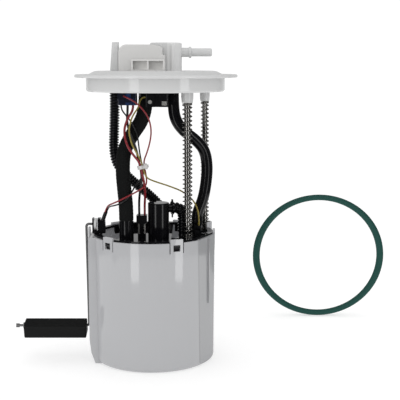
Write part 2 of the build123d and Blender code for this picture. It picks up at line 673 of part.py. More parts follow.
def connector_hood():
    outline = Plane.XZ * make_face(Polyline(
        (HOOD_X0, DOME_Z), (HOOD_STEP_X, DOME_Z), (HOOD_STEP_X, HOOD_STEP_Z), (HOOD_X1, HOOD_STEP_Z),
        (HOOD_X1, HOOD_TOP - 2), (HOOD_X1 - 9, HOOD_TOP), (HOOD_X0, HOOD_TOP), close=True))
    body = Pos(0, HOOD_Y1, 0) * extrude(outline, HOOD_Y1 - HOOD_Y0)
    left = body.edges().filter_by(Axis.Y).group_by(Axis.X)[0].sort_by(Axis.Z)[-1]
    body = fillet(left, HOOD_ROUND)
    right = body.edges().filter_by(Axis.Y).filter_by_position(Axis.X, HOOD_X1 - 0.1, HOOD_X1 + 0.1)
    body = fillet(right.sort_by(Axis.Z)[-1], 4)
    front_edges = body.faces().sort_by(Axis.Y)[0].edges().filter_by_position(Axis.Z, DOME_Z + 1, HOOD_TOP + 1)
    body = fillet(front_edges, 1.0)
    pocket_x1 = POCKET_X0 + 2 * POCKET_W + POCKET_BAR
    body += block(POCKET_X0 - POCKET_FRAME, pocket_x1 + POCKET_FRAME, POCKET_FACE, HOOD_Y0 + 2,
                  DOME_Z, POCKET_Z0 + POCKET_H + POCKET_FRAME)
    for k in range(2):
        x0 = POCKET_X0 + k * (POCKET_W + POCKET_BAR)
        y1 = POCKET_FACE + POCKET_DEEP
        body -= block(x0, x0 + POCKET_W, POCKET_FACE - 1, y1, POCKET_Z0, POCKET_Z0 + POCKET_H)
    mouth = Plane.XZ.offset(-HOOD_Y1) * Pos(SHROUD_X, SHROUD_Z) * RectangleRounded(SHROUD_W, SHROUD_H, 3)
    body -= extrude(mouth, SHROUD_DEEP)
    body -= post(TOWER_R + FIT_GAP, DOME_Z - 1, TOWER_TOP + 5, TOWER_X, TOWER_Y)
    body -= pins_all()
    return body


def pin_xs():
    return [SHROUD_X + PIN_PITCH * (k - (PIN_N - 1) / 2) for k in range(PIN_N)]


def hood_pins():
    """Bent blade pins: they stand in the hood's mouth and reach the blue plug below."""
    root = HOOD_Y1 - SHROUD_DEEP - 4
    z1 = SHROUD_Z + PIN_T / 2
    solids = []
    for x in pin_xs():
        body = block(x - PIN_W / 2, x + PIN_W / 2, root, HOOD_Y1 - 4, z1 - PIN_T, z1)
        body += block(x - PIN_W / 2, x + PIN_W / 2, root - PIN_T, root, BLUE_FOOT + 8, z1)
        solids.append(body)
    return solids


def pins_all():
    return Compound(hood_pins())


def blue_plug():
    body = block(BLUE_X0, BLUE_X1, PLUG_Y0, PLUG_Y1, BLUE_FOOT, PLATE_UNDER)
    body = fillet(body.edges().filter_by(Axis.Z), 1.5)
    body -= block(BLUE_X0 - 1, BLUE_X0 + 3, PLUG_Y0 - 1, PLUG_Y0 + 2, BLUE_FOOT + 6, PLATE_UNDER + 1)
    body += block(BLUE_X0 + 7, BLUE_X1 - 5, PLUG_Y0 - 1.6, PLUG_Y0 + 1, BLUE_FOOT + 3, BLUE_FOOT + 13)
    body -= pins_all()
    return body


def black_plug():
    body = block(BLACK_X0, BLACK_X1, PLUG_Y0, PLUG_Y1, BLACK_FOOT, PLATE_UNDER)
    body = fillet(body.edges().filter_by(Axis.Z), 1.2)
    groove = block(BLACK_X0 + 8.2, BLACK_X1 - 8.2, PLUG_Y0 - 1, PLUG_Y0 + 1.6, BLACK_FOOT - 1, PLATE_UNDER - 6)
    body -= groove
    body -= contacts_all()
    return body


def plug_contacts():
    y0 = PLUG_Y0 - 0.6
    y1 = PLUG_Y0 + 4
    left = rod_y(1.9, y0, y1, BLACK_X0 + 4.1, BLACK_FOOT + 4.8)
    right = block(BLACK_X1 - 5.6, BLACK_X1 - 0.9, y0, y1, BLACK_FOOT + 1.6, BLACK_FOOT + 5.4)
    return [left, fillet(right.edges().filter_by(Axis.Y), 0.5)]


def contacts_all():
    return Compound(plug_contacts())


def pump_can():
    body = tube(CAN_R, CAN_R - CAN_WALL, CAN_Z0, CAN_Z1, PUMP_X, PUMP_Y)
    return body


def pump_end_cap():
    inner = CAN_R - CAN_WALL
    body = post(inner, ISO_RING_Z0, CAN_Z1, PUMP_X, PUMP_Y)
    body += cone(inner - 0.5, inner - 2.5, CAN_Z1, END_CAP_Z, PUMP_X, PUMP_Y)
    body += post(NIPPLE_R, END_CAP_Z - 1, NIPPLE_TOP, PUMP_X, PUMP_Y)
    body += block(PPLUG_X0 + 4, PPLUG_X1 - 3, PPLUG_Y0 + 4, PPLUG_Y1 - 4, END_CAP_Z - 3, PPLUG_Z0 - 6)
    body -= post(NIPPLE_R - 1.4, END_CAP_Z - 4, NIPPLE_TOP + 1, PUMP_X, PUMP_Y)
    body -= post(SHAFT_R + RUN_GAP, ISO_RING_Z0 - 1, ISO_RING_Z0 + 6, PUMP_X, PUMP_Y)
    return body


def pump_plate():
    """The housing plate over the impeller, with the lower bearing of the shaft."""
    inner = CAN_R - CAN_WALL
    top = CAN_Z0 + 6
    body = post(inner, CAN_Z0, top, PUMP_X, PUMP_Y)
    body -= post(SHAFT_R + RUN_GAP, CAN_Z0 - 1, top + 1, PUMP_X, PUMP_Y)
    return body


def pump_inlet():
    """The inlet cover: the impeller turns in its top, and the fuel rises through its neck."""
    body = post(CAN_R, INLET_Z, CAN_Z0, PUMP_X, PUMP_Y)
    body = fillet(body.edges().group_by(Axis.Z)[0], 1.0)
    seat = CAN_Z0 - IMPELLER_T - 2 * IMPELLER_GAP
    body -= post(IMPELLER_R + IMPELLER_GAP, seat, CAN_Z0 + 1, PUMP_X, PUMP_Y)
    body -= post(3.0, INLET_Z - 1, CAN_Z0, PUMP_X, PUMP_Y)
    return body


def magnets():
    inner = CAN_R - CAN_WALL - FIT_GAP / 6
    solids = []
    for k in range(2):
        arc = tube(inner, inner - MAGNET_T, ARMATURE_Z0 - 3, ARMATURE_Z1 + 3)
        reach = 30
        half = math.radians(MAGNET_ARC / 2)
        wedge = make_face(Polyline(
            (0, 0), (reach * math.cos(half), -reach * math.sin(half)), (reach * 2, 0),
            (reach * math.cos(half), reach * math.sin(half)), close=True))
        wedge = Pos(0, 0, ARMATURE_Z0 - 5) * extrude(wedge, ARMATURE_Z1 - ARMATURE_Z0 + 10)
        solids.append(Pos(PUMP_X, PUMP_Y, 0) * (Rot(0, 0, 180 * k) * (arc & wedge)))
    return solids


def brushes():
    solids = []
    for side in (-1, 1):
        x0 = PUMP_X + side * (COMM_R + RUN_GAP)
        x1 = PUMP_X + side * (COMM_R + 7)
        z1 = ISO_RING_Z0
        solids.append(block(min(x0, x1), max(x0, x1), PUMP_Y - 2.5, PUMP_Y + 2.5, COMM_Z0 + 1.5, z1))
    return solids


def rotor_shaft():
    return post(SHAFT_R, CAN_Z0 - IMPELLER_T - IMPELLER_GAP, ISO_RING_Z0 + 5, PUMP_X, PUMP_Y)


def armature():
    body = post(ARMATURE_R, ARMATURE_Z0, ARMATURE_Z1, PUMP_X, PUMP_Y)
    for k in range(8):
        slot = Pos(PUMP_X, PUMP_Y, 0) * spoke(45 * k, 0, 1.6, ARMATURE_Z0 - 1, ARMATURE_Z1 + 1, 7, 20)
        body -= slot
    body -= post(SHAFT_R, ARMATURE_Z0 - 1, ARMATURE_Z1 + 1, PUMP_X, PUMP_Y)
    return body


def commutator():
    return tube(COMM_R, SHAFT_R, COMM_Z0, COMM_Z1, PUMP_X, PUMP_Y)


def impeller():
    z1 = CAN_Z0 - IMPELLER_GAP
    z0 = z1 - IMPELLER_T
    body = tube(IMPELLER_R, SHAFT_R, z0, z1, PUMP_X, PUMP_Y)
    for k in range(24):
        notch = spoke(15 * k, 0, 1.6, z0 - 1, z1 + 1, IMPELLER_R - 2.5, IMPELLER_R + 1)
        body -= Pos(PUMP_X, PUMP_Y, 0) * notch
    return body


def isolator_ring():
    outer = CAN_R + ISO_RING_T
    body = tube(outer, CAN_R, ISO_RING_Z0, ISO_RING_Z1, PUMP_X, PUMP_Y)
    return body


def isolator_base():
    body = post(CAN_R + 2.2, ISO_BASE_Z0, INLET_Z + ISO_BASE_T, PUMP_X, PUMP_Y)
    body -= post(CAN_R, INLET_Z, CAN_Z0 + 1, PUMP_X, PUMP_Y)
    body -= post(CAN_R - 6, ISO_BASE_Z0 - 1, CAN_Z0, PUMP_X, PUMP_Y)
    return body


def outlet_mast():
    """The capped black cylinder over the pump; it holds the check valve."""
    body = post(MAST_R, PLATE_TOP, MAST_TOP, PUMP_X, PUMP_Y)
    body -= post(MAST_BORE, NIPPLE_TOP + FIT_GAP, MAST_TOP - 3, PUMP_X, PUMP_Y)
    body -= post(NIPPLE_R + RUN_GAP, PLATE_TOP - 1, NIPPLE_TOP + FIT_GAP + 1, PUMP_X, PUMP_Y)
    body += to_jumper(rod_x(JUMPER_R * BARB_SHARE, MAST_R - 2, MAST_R + JUMPER_STUB, 0, JUMPER_Z))
    return body


def mast_cap():
    body = post(MAST_R, MAST_TOP, MAST_CAP_TOP, PUMP_X, PUMP_Y)
    return fillet(body.edges().group_by(Axis.Z)[-1], 0.8)


def to_jumper(shape):
    """Place a shape drawn along +X from the mast's axis so that it points at the hose's foot."""
    turn = math.degrees(math.atan2(JUMPER_FOOT[1] - PUMP_Y, JUMPER_FOOT[0] - PUMP_X))
    return Pos(PUMP_X, PUMP_Y, 0) * (Rot(0, 0, turn) * shape)


def jumper_hose():
    reach = math.hypot(JUMPER_FOOT[0] - PUMP_X, JUMPER_FOOT[1] - PUMP_Y)
    start_x = MAST_R + JUMPER_STUB
    path = FilletPolyline(
        (start_x, 0, JUMPER_Z), (reach, 0, JUMPER_Z), (reach, 0, JUMPER_FOOT_Z), radius=JUMPER_BEND)
    return to_jumper(sweep(Plane.YZ.offset(start_x) * Pos(0, JUMPER_Z) * Circle(JUMPER_R), path=path))


def jumper_clamp():
    x = MAST_R + JUMPER_STUB + 1.4
    top = JUMPER_Z + JUMPER_R
    low = JUMPER_Z - JUMPER_R
    body = rod_x(JUMPER_R + 1.1, x - 0.8, x + 0.8, 0, JUMPER_Z)
    body -= rod_x(JUMPER_R, x - 4, x + 4, 0, JUMPER_Z)
    body += block(x - 0.8, x + 0.8, -0.8, 0.8, top + 0.5, top + 3)
    body += block(x - 0.6, x + 0.6, -0.8, 0.8, low - 4, low - 0.5)
    return to_jumper(body)


def sleeve_fitting():
    """The ribbed collar in which the wide hose stands."""
    x, y = SLEEVE_FOOT
    body = post(SLEEVE_R - 0.9, PLATE_TOP, SLEEVE_FOOT_Z, x, y)
    for k in range(10):
        body += Pos(x, y, 0) * spoke(36 * k, 0, 1.3, PLATE_TOP, SLEEVE_FOOT_Z - 1, 4, SLEEVE_R)
    body += post(SLEEVE_R + 0.4, PLATE_TOP, PLATE_TOP + 2, x, y)
    return body


def strainer_frame():
    body = tube(6.5, 2.9, STRAINER_Z0 + STRAINER_T, INLET_Z, PUMP_X, PUMP_Y)
    return body


def strainer():
    body = post(STRAINER_R, STRAINER_Z0, STRAINER_Z0 + STRAINER_T, PUMP_X, PUMP_Y)
    return fillet(body.edges(), 2.5)


def foot_valve():
    body = post(VALVE_STEM, RECESS_DEEP - 0.6, FLOOR + 0.5, VALVE_X, VALVE_Y)
    flap = [(0, FLOOR), (VALVE_R, FLOOR), (VALVE_R, FLOOR + 0.5), (2, FLOOR + 1.8), (0, FLOOR + 1.8)]
    return body + turned(flap, VALVE_X, VALVE_Y)


def jet_pump():
    x0 = JET_X - JET_LONG / 2
    x1 = JET_X + JET_LONG / 2
    body = rod_x(JET_R, x0, x1, JET_Y, JET_Z)
    body += block(x0 + 3, x0 + 9, JET_Y - JET_R, JET_Y + JET_R, FLOOR, JET_Z)
    body += block(x1 - 9, x1 - 3, JET_Y - JET_R, JET_Y + JET_R, FLOOR, JET_Z)
    body += post(JET_R - 1, JET_Z, JET_Z + 16, x0 + 6, JET_Y)
    body -= rod_x(JET_R - 1.6, x0 + 4, x1 + 1, JET_Y, JET_Z)
    body -= post(JET_R - 2.2, JET_Z, JET_Z + 17, x0 + 6, JET_Y)
    return body


def regulator():
    body = post(REG_R, REG_Z0, REG_Z1, REG_X, REG_Y)
    body = fillet(body.edges().group_by(Axis.Z)[0], 2.0)
    body += post(REG_LIP_R, REG_Z1 - 3, REG_Z1, REG_X, REG_Y)
    body += post(4.0, REG_Z1, PLATE_TOP - PLATE_T, REG_X, REG_Y)
    return body


def pump_plug():
    body = block(PPLUG_X0, PPLUG_X1, PPLUG_Y0, PPLUG_Y1, PPLUG_Z0, PPLUG_Z1)
    s = PPLUG_STEP
    body += block(PPLUG_X0 + s, PPLUG_X1 - s, PPLUG_Y0 + s, PPLUG_Y1 - s, PLATE_TOP, PPLUG_Z0 + 1)
    body = fillet(body.edges().filter_by(Axis.Z), 0.6)
    body -= block(PPLUG_X0 + 4, PPLUG_X1 - 3, PPLUG_Y0 + 4, PPLUG_Y1 - 4, PLATE_TOP - 1, PPLUG_Z0 - 6)
    body -= blades_all()
    return body


def plug_blades():
    """Silver terminal blades that show on the front of the pump's plug."""
    solids = []
    for x in (PPLUG_X0 + 2.4, PPLUG_X1 - 2.2):
        body = block(x - 0.8, x + 0.8, PPLUG_Y0 + PPLUG_STEP - 0.5, PPLUG_Y0 + PPLUG_STEP + 0.6,
                     PLATE_TOP + 6, PPLUG_Z0)
        solids.append(body)
    return solids


def blades_all():
    return Compound(plug_blades())


def red_connector():
    body = block(RED_X0, RED_X1, RED_Y0, RED_Y1, PLATE_TOP, RED_TOP)
    body = fillet(body.edges().filter_by(Axis.Z), 1.0)
    body -= block(RED_X0 + 2, RED_X1 - 2, RED_Y0 - 1, RED_Y0 + 1.2, PLATE_TOP + 4, RED_TOP - 3)
    return body


def sender_frame():
    """Two cheeks that carry the arm's pivot, on a foot that clips over the carrier's ring."""
    y0 = PIVOT_Y - CHEEK_HALF
    y1 = PIVOT_Y + CHEEK_HALF
    in_x1 = CHEEK_IN_X + CHEEK_IN_T
    body = block(CHEEK_OUT_X, SENDER_X1, y0, y1, RING_TOP, SENDER_FOOT)
    body += block(CHEEK_OUT_X, CHEEK_OUT_X + CHEEK_OUT_T, y0, y1, SENDER_FOOT - 1, CHEEK_TOP)
    body += block(CHEEK_IN_X, in_x1, y0, y1, SENDER_FOOT - 1, CHEEK_TOP)
    body += block(in_x1 - 1, SENDER_X1, y0, y1, SENDER_FOOT - 1, BOOT_Z0)
    ring_in = RIM_R - WALL - FIT_GAP - RING_W
    leg = -math.sqrt(ring_in**2 - CHEEK_HALF**2 - PIVOT_Y**2) + 1.2
    body += block(leg, leg + 2, y0, y1, RING_TOP - RING_T - 4, RING_TOP + 1)
    body += block(leg - 1.6, leg + 1, y0, y1, RING_TOP - RING_T - 4, RING_TOP - RING_T - 0.3)
    body -= rod_x(WIRE_R + RUN_GAP, CHEEK_OUT_X - 1, in_x1 + 0.6, PIVOT_Y, PIVOT_Z)
    return body


def sender_card():
    y0 = PIVOT_Y - CARD_HALF
    y1 = PIVOT_Y + CARD_HALF
    body = block(CHEEK_IN_X - CARD_T, CHEEK_IN_X, y0, y1, SENDER_FOOT, PIVOT_Z + CARD_HALF)
    body -= rod_x(WIRE_R + 0.6, CHEEK_IN_X - 3, CHEEK_IN_X + 1, PIVOT_Y, PIVOT_Z)
    return body


def sender_boots():
    """Two small boots that lean the way the wires leave them."""
    solids = []
    for x, y in zip(BOOT_X, BOOT_Y):
        upright = Plane(origin=(x, y, BOOT_Z0), z_dir=BOOT_LEAN)
        long = Vector(*BOOT_LEAN).length
        body = upright * cone(BOOT_R, BOOT_R - 0.2, -1, long)
        solids.append(body - block(x - 5, x + 5, y - 5, y + 5, BOOT_Z0 - 5, BOOT_Z0))
    return solids


def boot_exit(k):
    """The last two points of a wire that ends on boot number k, in line with the boot."""
    x, y = BOOT_X[k], BOOT_Y[k]
    return [(x + s * BOOT_LEAN[0], y, BOOT_Z0 + s * BOOT_LEAN[2]) for s in (1.5, 1)]


def hub_x0():
    return CHEEK_OUT_X + CHEEK_OUT_T + FIT_GAP


def arm_hub():
    body = rod_x(HUB_R, hub_x0(), hub_x0() + HUB_T, PIVOT_Y, PIVOT_Z)
    body += block(hub_x0(), hub_x0() + HUB_T, PIVOT_Y - 2.2, PIVOT_Y + 2.2, PIVOT_Z, PIVOT_Z + HUB_R + 0.4)
    body -= rod_x(WIRE_R, hub_x0() - 1, hub_x0() + HUB_T + 1, PIVOT_Y, PIVOT_Z)
    return body


def wiper():
    """Sprung contact fingers between the hub and the resistor card."""
    x0 = hub_x0() + HUB_T
    x1 = CHEEK_IN_X - CARD_T - RUN_GAP
    low = PIVOT_Z - WIPER_LOW
    body = block(x0, x0 + 0.3, PIVOT_Y - WIPER_HALF, PIVOT_Y + WIPER_HALF, low, PIVOT_Z - WIRE_R - 0.6)
    body += block(x0, x1, PIVOT_Y - WIPER_HALF, PIVOT_Y - WIPER_HALF + WIPER_W, low, low + WIPER_W)
    body += block(x0, x1, PIVOT_Y + WIPER_HALF - WIPER_W, PIVOT_Y + WIPER_HALF, low, low + WIPER_W)
    return body


def float_arm():
    points = [
        (CHEEK_IN_X + CHEEK_IN_T + 0.3, PIVOT_Y, PIVOT_Z), (ARM_TOP_X, PIVOT_Y, PIVOT_Z),
        (ARM_FOOT_X, PIVOT_Y, ARM_FOOT_Z), (ARM_TIP_X, PIVOT_Y, ARM_FOOT_Z)]
    path = FilletPolyline(*points, radius=ARM_BEND)
    start = Plane(origin=path @ 0, z_dir=path % 0)
    body = sweep(start * Circle(WIRE_R), path=path)
    x1 = ARM_TIP_X + 3.2
    tip = block(ARM_TIP_X - 0.2, x1, PIVOT_Y - 0.6, PIVOT_Y + 0.6, ARM_FOOT_Z - 1.9, ARM_FOOT_Z + 1.9)
    return body + tip


def float_clip():
    body = rod_x(3.0, FLOAT_X0 - 1.3, FLOAT_X0 - 0.5, PIVOT_Y, ARM_FOOT_Z)
    body -= rod_x(WIRE_R, FLOAT_X0 - 3, FLOAT_X0 + 1, PIVOT_Y, ARM_FOOT_Z)
    return body


def float_body():
    bar = Box(FLOAT_X1 - FLOAT_X0, FLOAT_WIDE, FLOAT_TALL)
    bar = chamfer(bar.edges(), 0.8)
    bar = Pos((FLOAT_X0 + FLOAT_X1) / 2, PIVOT_Y, ARM_FOOT_Z - FLOAT_HANG) * (Rot(FLOAT_TILT, 0, 0) * bar)
    return bar - rod_x(WIRE_R + FLOAT_HOLE_GAP, FLOAT_X0 - 1, FLOAT_X1 + 1, PIVOT_Y, ARM_FOOT_Z)


def sleeve_hose():
    points = [(*SLEEVE_TOP, HOSE_TOP_Z), *SLEEVE_WAY, (*SLEEVE_FOOT, SLEEVE_FOOT_Z)]
    return route(points, SLEEVE_R, "sleeve_hose")


def corrugated_hose():
    points = [(*CORR_TOP, HOSE_TOP_Z), *CORR_WAY, (*CORR_FOOT, CORR_FOOT_Z)]
    return route(points, CORR_R, "corrugated_hose")


def s_hose():
    points = [(*SHOSE_TOP, HOSE_TOP_Z), *SHOSE_WAY, (*SHOSE_FOOT, SHOSE_FOOT_Z)]
    return route(points, SHOSE_R, "s_hose")


def tie_pass(dx, dy):
    """Where a wire enters and leaves the tie: two points, one each side of it."""
    lean = math.tan(math.radians(TIE_LEAN))
    x, y, z = TIE
    return [(x + dx - 5 * lean, y + dy, z + 5), (x + dx + 5 * lean, y + dy, z - 5)]


def wire_red_pump():
    x, y = PPLUG_X1 - 2.4, (PPLUG_Y0 + PPLUG_Y1) / 2
    points = [*RED_PUMP_HIGH, *tie_pass(-1.1, -1.45), *RED_PUMP_LOW,
              (x, y - 0.6, PPLUG_Z1 + 10.1), (x, y, PPLUG_Z1 + 4.7), (x, y, PPLUG_Z1)]
    return route(points, THICK_R, "wire_red_pump")


def wire_black_pump():
    x, y = PPLUG_X0 + 2.6, (PPLUG_Y0 + PPLUG_Y1) / 2
    points = [*BLACK_PUMP_HIGH, *tie_pass(-1.75, 0.95), *BLACK_PUMP_LOW,
              (x, y - 1, PPLUG_Z1 + 11.6), (x, y, PPLUG_Z1 + 5.5), (x, y, PPLUG_Z1)]
    return route(points, THICK_R, "wire_black_pump")


def wire_red_sender():
    points = [*RED_SENDER_HIGH, *tie_pass(2.4, 0.4), *RED_SENDER_LOW, *boot_exit(0)]
    return route(points, THIN_R, "wire_red_sender")


def wire_black_sender():
    points = [*BLACK_SENDER_HIGH, *tie_pass(0.4, 1.5), *BLACK_SENDER_LOW, *boot_exit(1)]
    return route(points, THIN_R, "wire_black_sender")


def wire_yellow():
    x, y = RED_X1 - 2.6, (RED_Y0 + RED_Y1) / 2
    points = [*YELLOW_HIGH, *tie_pass(1, -1.5), *YELLOW_LOW, (x, y, RED_TOP + 7), (x, y, RED_TOP)]
    return route(points, THIN_R, "wire_yellow")


def cable_tie():
    band = extrude(Ellipse(TIE_HALF_X + TIE_T, TIE_HALF_Y + TIE_T), TIE_H / 2, both=True)
    band -= extrude(Ellipse(TIE_HALF_X, TIE_HALF_Y), TIE_H, both=True)
    head = block(TIE_HALF_X + 0.5, TIE_HALF_X + 0.5 + TIE_HEAD, -2, 2, -2.2, 2.2)
    head = fillet(head.edges().filter_by(Axis.Y), 0.6)
    return Pos(*TIE) * (Rot(0, -TIE_LEAN, 0) * (band + head))


def seal_ring():
    """The flange's seal: a round section carried along an oval of four tangent arcs."""
    a = SEAL_HALF_W - SEAL_ROUND
    b = SEAL_HALF_H - SEAL_ROUND
    r_side = b - (a - b) * 0.5
    shift = a - r_side
    r_top = (shift**2 + b**2 - r_side**2) / (2 * (b - r_side))
    drop = r_top - b
    turn = math.atan2(shift, drop)
    p = (r_top * math.sin(turn), r_top * math.cos(turn) - drop)
    plane = Plane(origin=(SEAL_X, SEAL_Y, SEAL_HALF_H), x_dir=(1, 0, 0), z_dir=(0, -1, 0))
    arcs = [
        ThreePointArc((-p[0], p[1]), (0, b), p),
        ThreePointArc(p, (a, 0), (p[0], -p[1])),
        ThreePointArc((p[0], -p[1]), (0, -b), (-p[0], -p[1])),
        ThreePointArc((-p[0], -p[1]), (-a, 0), (-p[0], p[1]))]
    path = plane * Wire(arcs)
    start = Plane(origin=path @ 0, z_dir=path % 0)
    return sweep(start * Circle(SEAL_ROUND), path=path)


PIECES = {
    "reservoir": reservoir,
    "carrier": carrier,
    "baffle": baffle,
    "rod_bushes": rod_bushes,
    "outlet_mast": outlet_mast,
    "mast_cap": mast_cap,
    "jumper_hose": jumper_hose,
    "jumper_clamp": jumper_clamp,
    "sleeve_fitting": sleeve_fitting,
    "pump_can": pump_can,
    "pump_end_cap": pump_end_cap,
    "pump_plate": pump_plate,
    "pump_inlet": pump_inlet,
    "pump_magnets": magnets,
    "pump_brushes": brushes,
    "isolator_ring": isolator_ring,
    "isolator_base": isolator_base,
    "strainer_frame": strainer_frame,
    "strainer": strainer,
    "foot_valve": foot_valve,
    "jet_pump": jet_pump,
    "pressure_regulator": regulator,
    "pump_plug": pump_plug,
    "plug_blades": plug_blades,
    "carrier_connector": red_connector,
    "sender_frame": sender_frame,
    "sender_card": sender_card,
    "sender_boots": sender_boots,
    "seal_ring": seal_ring,
    "flange_cover": flange_cover,
    "connector_hood": connector_hood,
    "hood_pins": hood_pins,
    "blue_plug": blue_plug,
    "black_plug": black_plug,
    "plug_contacts": plug_contacts,
    "guide_rods": guide_rods,
    "rod_clips": rod_clips,
    "spring_front": lambda: spring(0),
    "spring_rear": lambda: spring(1),
    "sleeve_hose": sleeve_hose,
    "corrugated_hose": corrugated_hose,
    "s_hose": s_hose,
    "wire_red_pump": wire_red_pump,
    "wire_black_pump": wire_black_pump,
    "wire_red_sender": wire_red_sender,
    "wire_black_sender": wire_black_sender,
    "wire_yellow": wire_yellow,
    "cable_tie": cable_tie,
    "rotor_shaft": rotor_shaft,
    "armature": armature,
    "commutator": commutator,
    "impeller": impeller,
    "float_arm": float_arm,
    "arm_hub": arm_hub,
    "wiper": wiper,
    "float_clip": float_clip,
    "float": float_body,
}

os.makedirs("parts", exist_ok=True)
for name, make in PIECES.items():
    made = make()
    shape = Compound(made) if isinstance(made, list) else made
    export_step(shape, f"parts/{name}.step")
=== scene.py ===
import math
import bmesh
import bpy
from mathutils import Matrix, Vector


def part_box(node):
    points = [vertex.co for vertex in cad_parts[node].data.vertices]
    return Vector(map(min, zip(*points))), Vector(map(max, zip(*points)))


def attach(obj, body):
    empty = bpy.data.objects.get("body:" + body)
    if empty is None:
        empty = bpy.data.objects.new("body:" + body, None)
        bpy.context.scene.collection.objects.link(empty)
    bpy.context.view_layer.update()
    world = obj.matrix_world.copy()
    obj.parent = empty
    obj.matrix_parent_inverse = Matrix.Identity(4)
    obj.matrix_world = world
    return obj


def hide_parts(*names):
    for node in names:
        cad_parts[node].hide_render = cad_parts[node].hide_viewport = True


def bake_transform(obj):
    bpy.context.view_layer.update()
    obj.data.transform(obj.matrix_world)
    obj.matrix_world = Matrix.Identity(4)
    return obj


# Fuel pump module for a vehicle's tank: a flange with an outlet spigot stands on two sprung
# guide rods over a reservoir that holds the pump. Metres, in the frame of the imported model:
# +Z is up, +X is along the outlet spigot, and the hood's two pockets face -Y.
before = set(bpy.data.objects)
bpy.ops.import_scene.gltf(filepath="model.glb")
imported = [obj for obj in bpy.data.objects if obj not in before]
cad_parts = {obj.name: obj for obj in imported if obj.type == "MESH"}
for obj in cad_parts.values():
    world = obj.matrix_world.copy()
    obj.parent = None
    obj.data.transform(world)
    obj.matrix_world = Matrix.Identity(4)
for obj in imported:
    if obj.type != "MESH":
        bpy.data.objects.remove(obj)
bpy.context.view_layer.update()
MM = 0.001


# Camera
# It stands in front of the module, a little above the flange, and looks slightly down.
LOOKS_DOWN = 8.36
camera_data = bpy.data.cameras.new("camera")
camera_data.lens = 83.8
camera_data.sensor_width = 36.0
camera = bpy.data.objects.new("camera", camera_data)
camera.location = (0.0465, -0.914, 0.293)
camera.rotation_euler = (math.radians(90 - LOOKS_DOWN), 0, 0)
bpy.context.collection.objects.link(camera)
bpy.context.scene.camera = camera
bpy.context.scene.view_settings.view_transform = "Standard"


# Floor
# A round sheet of white paper with a fine tooth lies under the module. It is lit a little from
# below, as on a light table.
def connect(tree, socket, value):
    """Links an input to a signal or an output, or gives it a value of its own."""
    if isinstance(value, Signal):
        value = value.socket
    if isinstance(value, bpy.types.NodeSocket):
        tree.links.new(value, socket)
    else:
        socket.default_value = value


def add_node(tree, kind, settings, inputs):
    """A new node, with its settings made first and then the links or values of its inputs."""
    node = tree.nodes.new(kind)
    for name, setting in settings.items():
        setattr(node, name, setting)
    for name, value in inputs.items():
        connect(tree, node.inputs[name], value)
    return node


class Signal:
    """One value that runs through nodes and takes part in plain arithmetic."""

    def __init__(self, tree, socket):
        self.tree = tree
        self.socket = socket

    def maths(self, operation, *values):
        inputs = dict(enumerate(values))
        node = add_node(self.tree, "ShaderNodeMath", {"operation": operation}, inputs)
        return Signal(self.tree, node.outputs[0])

    def __add__(self, other):
        return self.maths("ADD", self, other)

    def __sub__(self, other):
        return self.maths("SUBTRACT", self, other)

    def __rsub__(self, other):
        return self.maths("SUBTRACT", other, self)

    def __mul__(self, other):
        return self.maths("MULTIPLY", self, other)

    def __mod__(self, other):
        return self.maths("MODULO", self, other)

    def __pow__(self, other):
        return self.maths("POWER", self, other)

    def __gt__(self, other):
        return self.maths("GREATER_THAN", self, other)

    def __lt__(self, other):
        return self.maths("LESS_THAN", self, other)

    __radd__ = __add__
    __rmul__ = __mul__

    def between(self, low, high):
        return (self > low) * (self < high)

    def clamped(self):
        return self.maths("MINIMUM", self.maths("MAXIMUM", self, 0.0), 1.0)

    def sine(self):
        return self.maths("SINE", self)


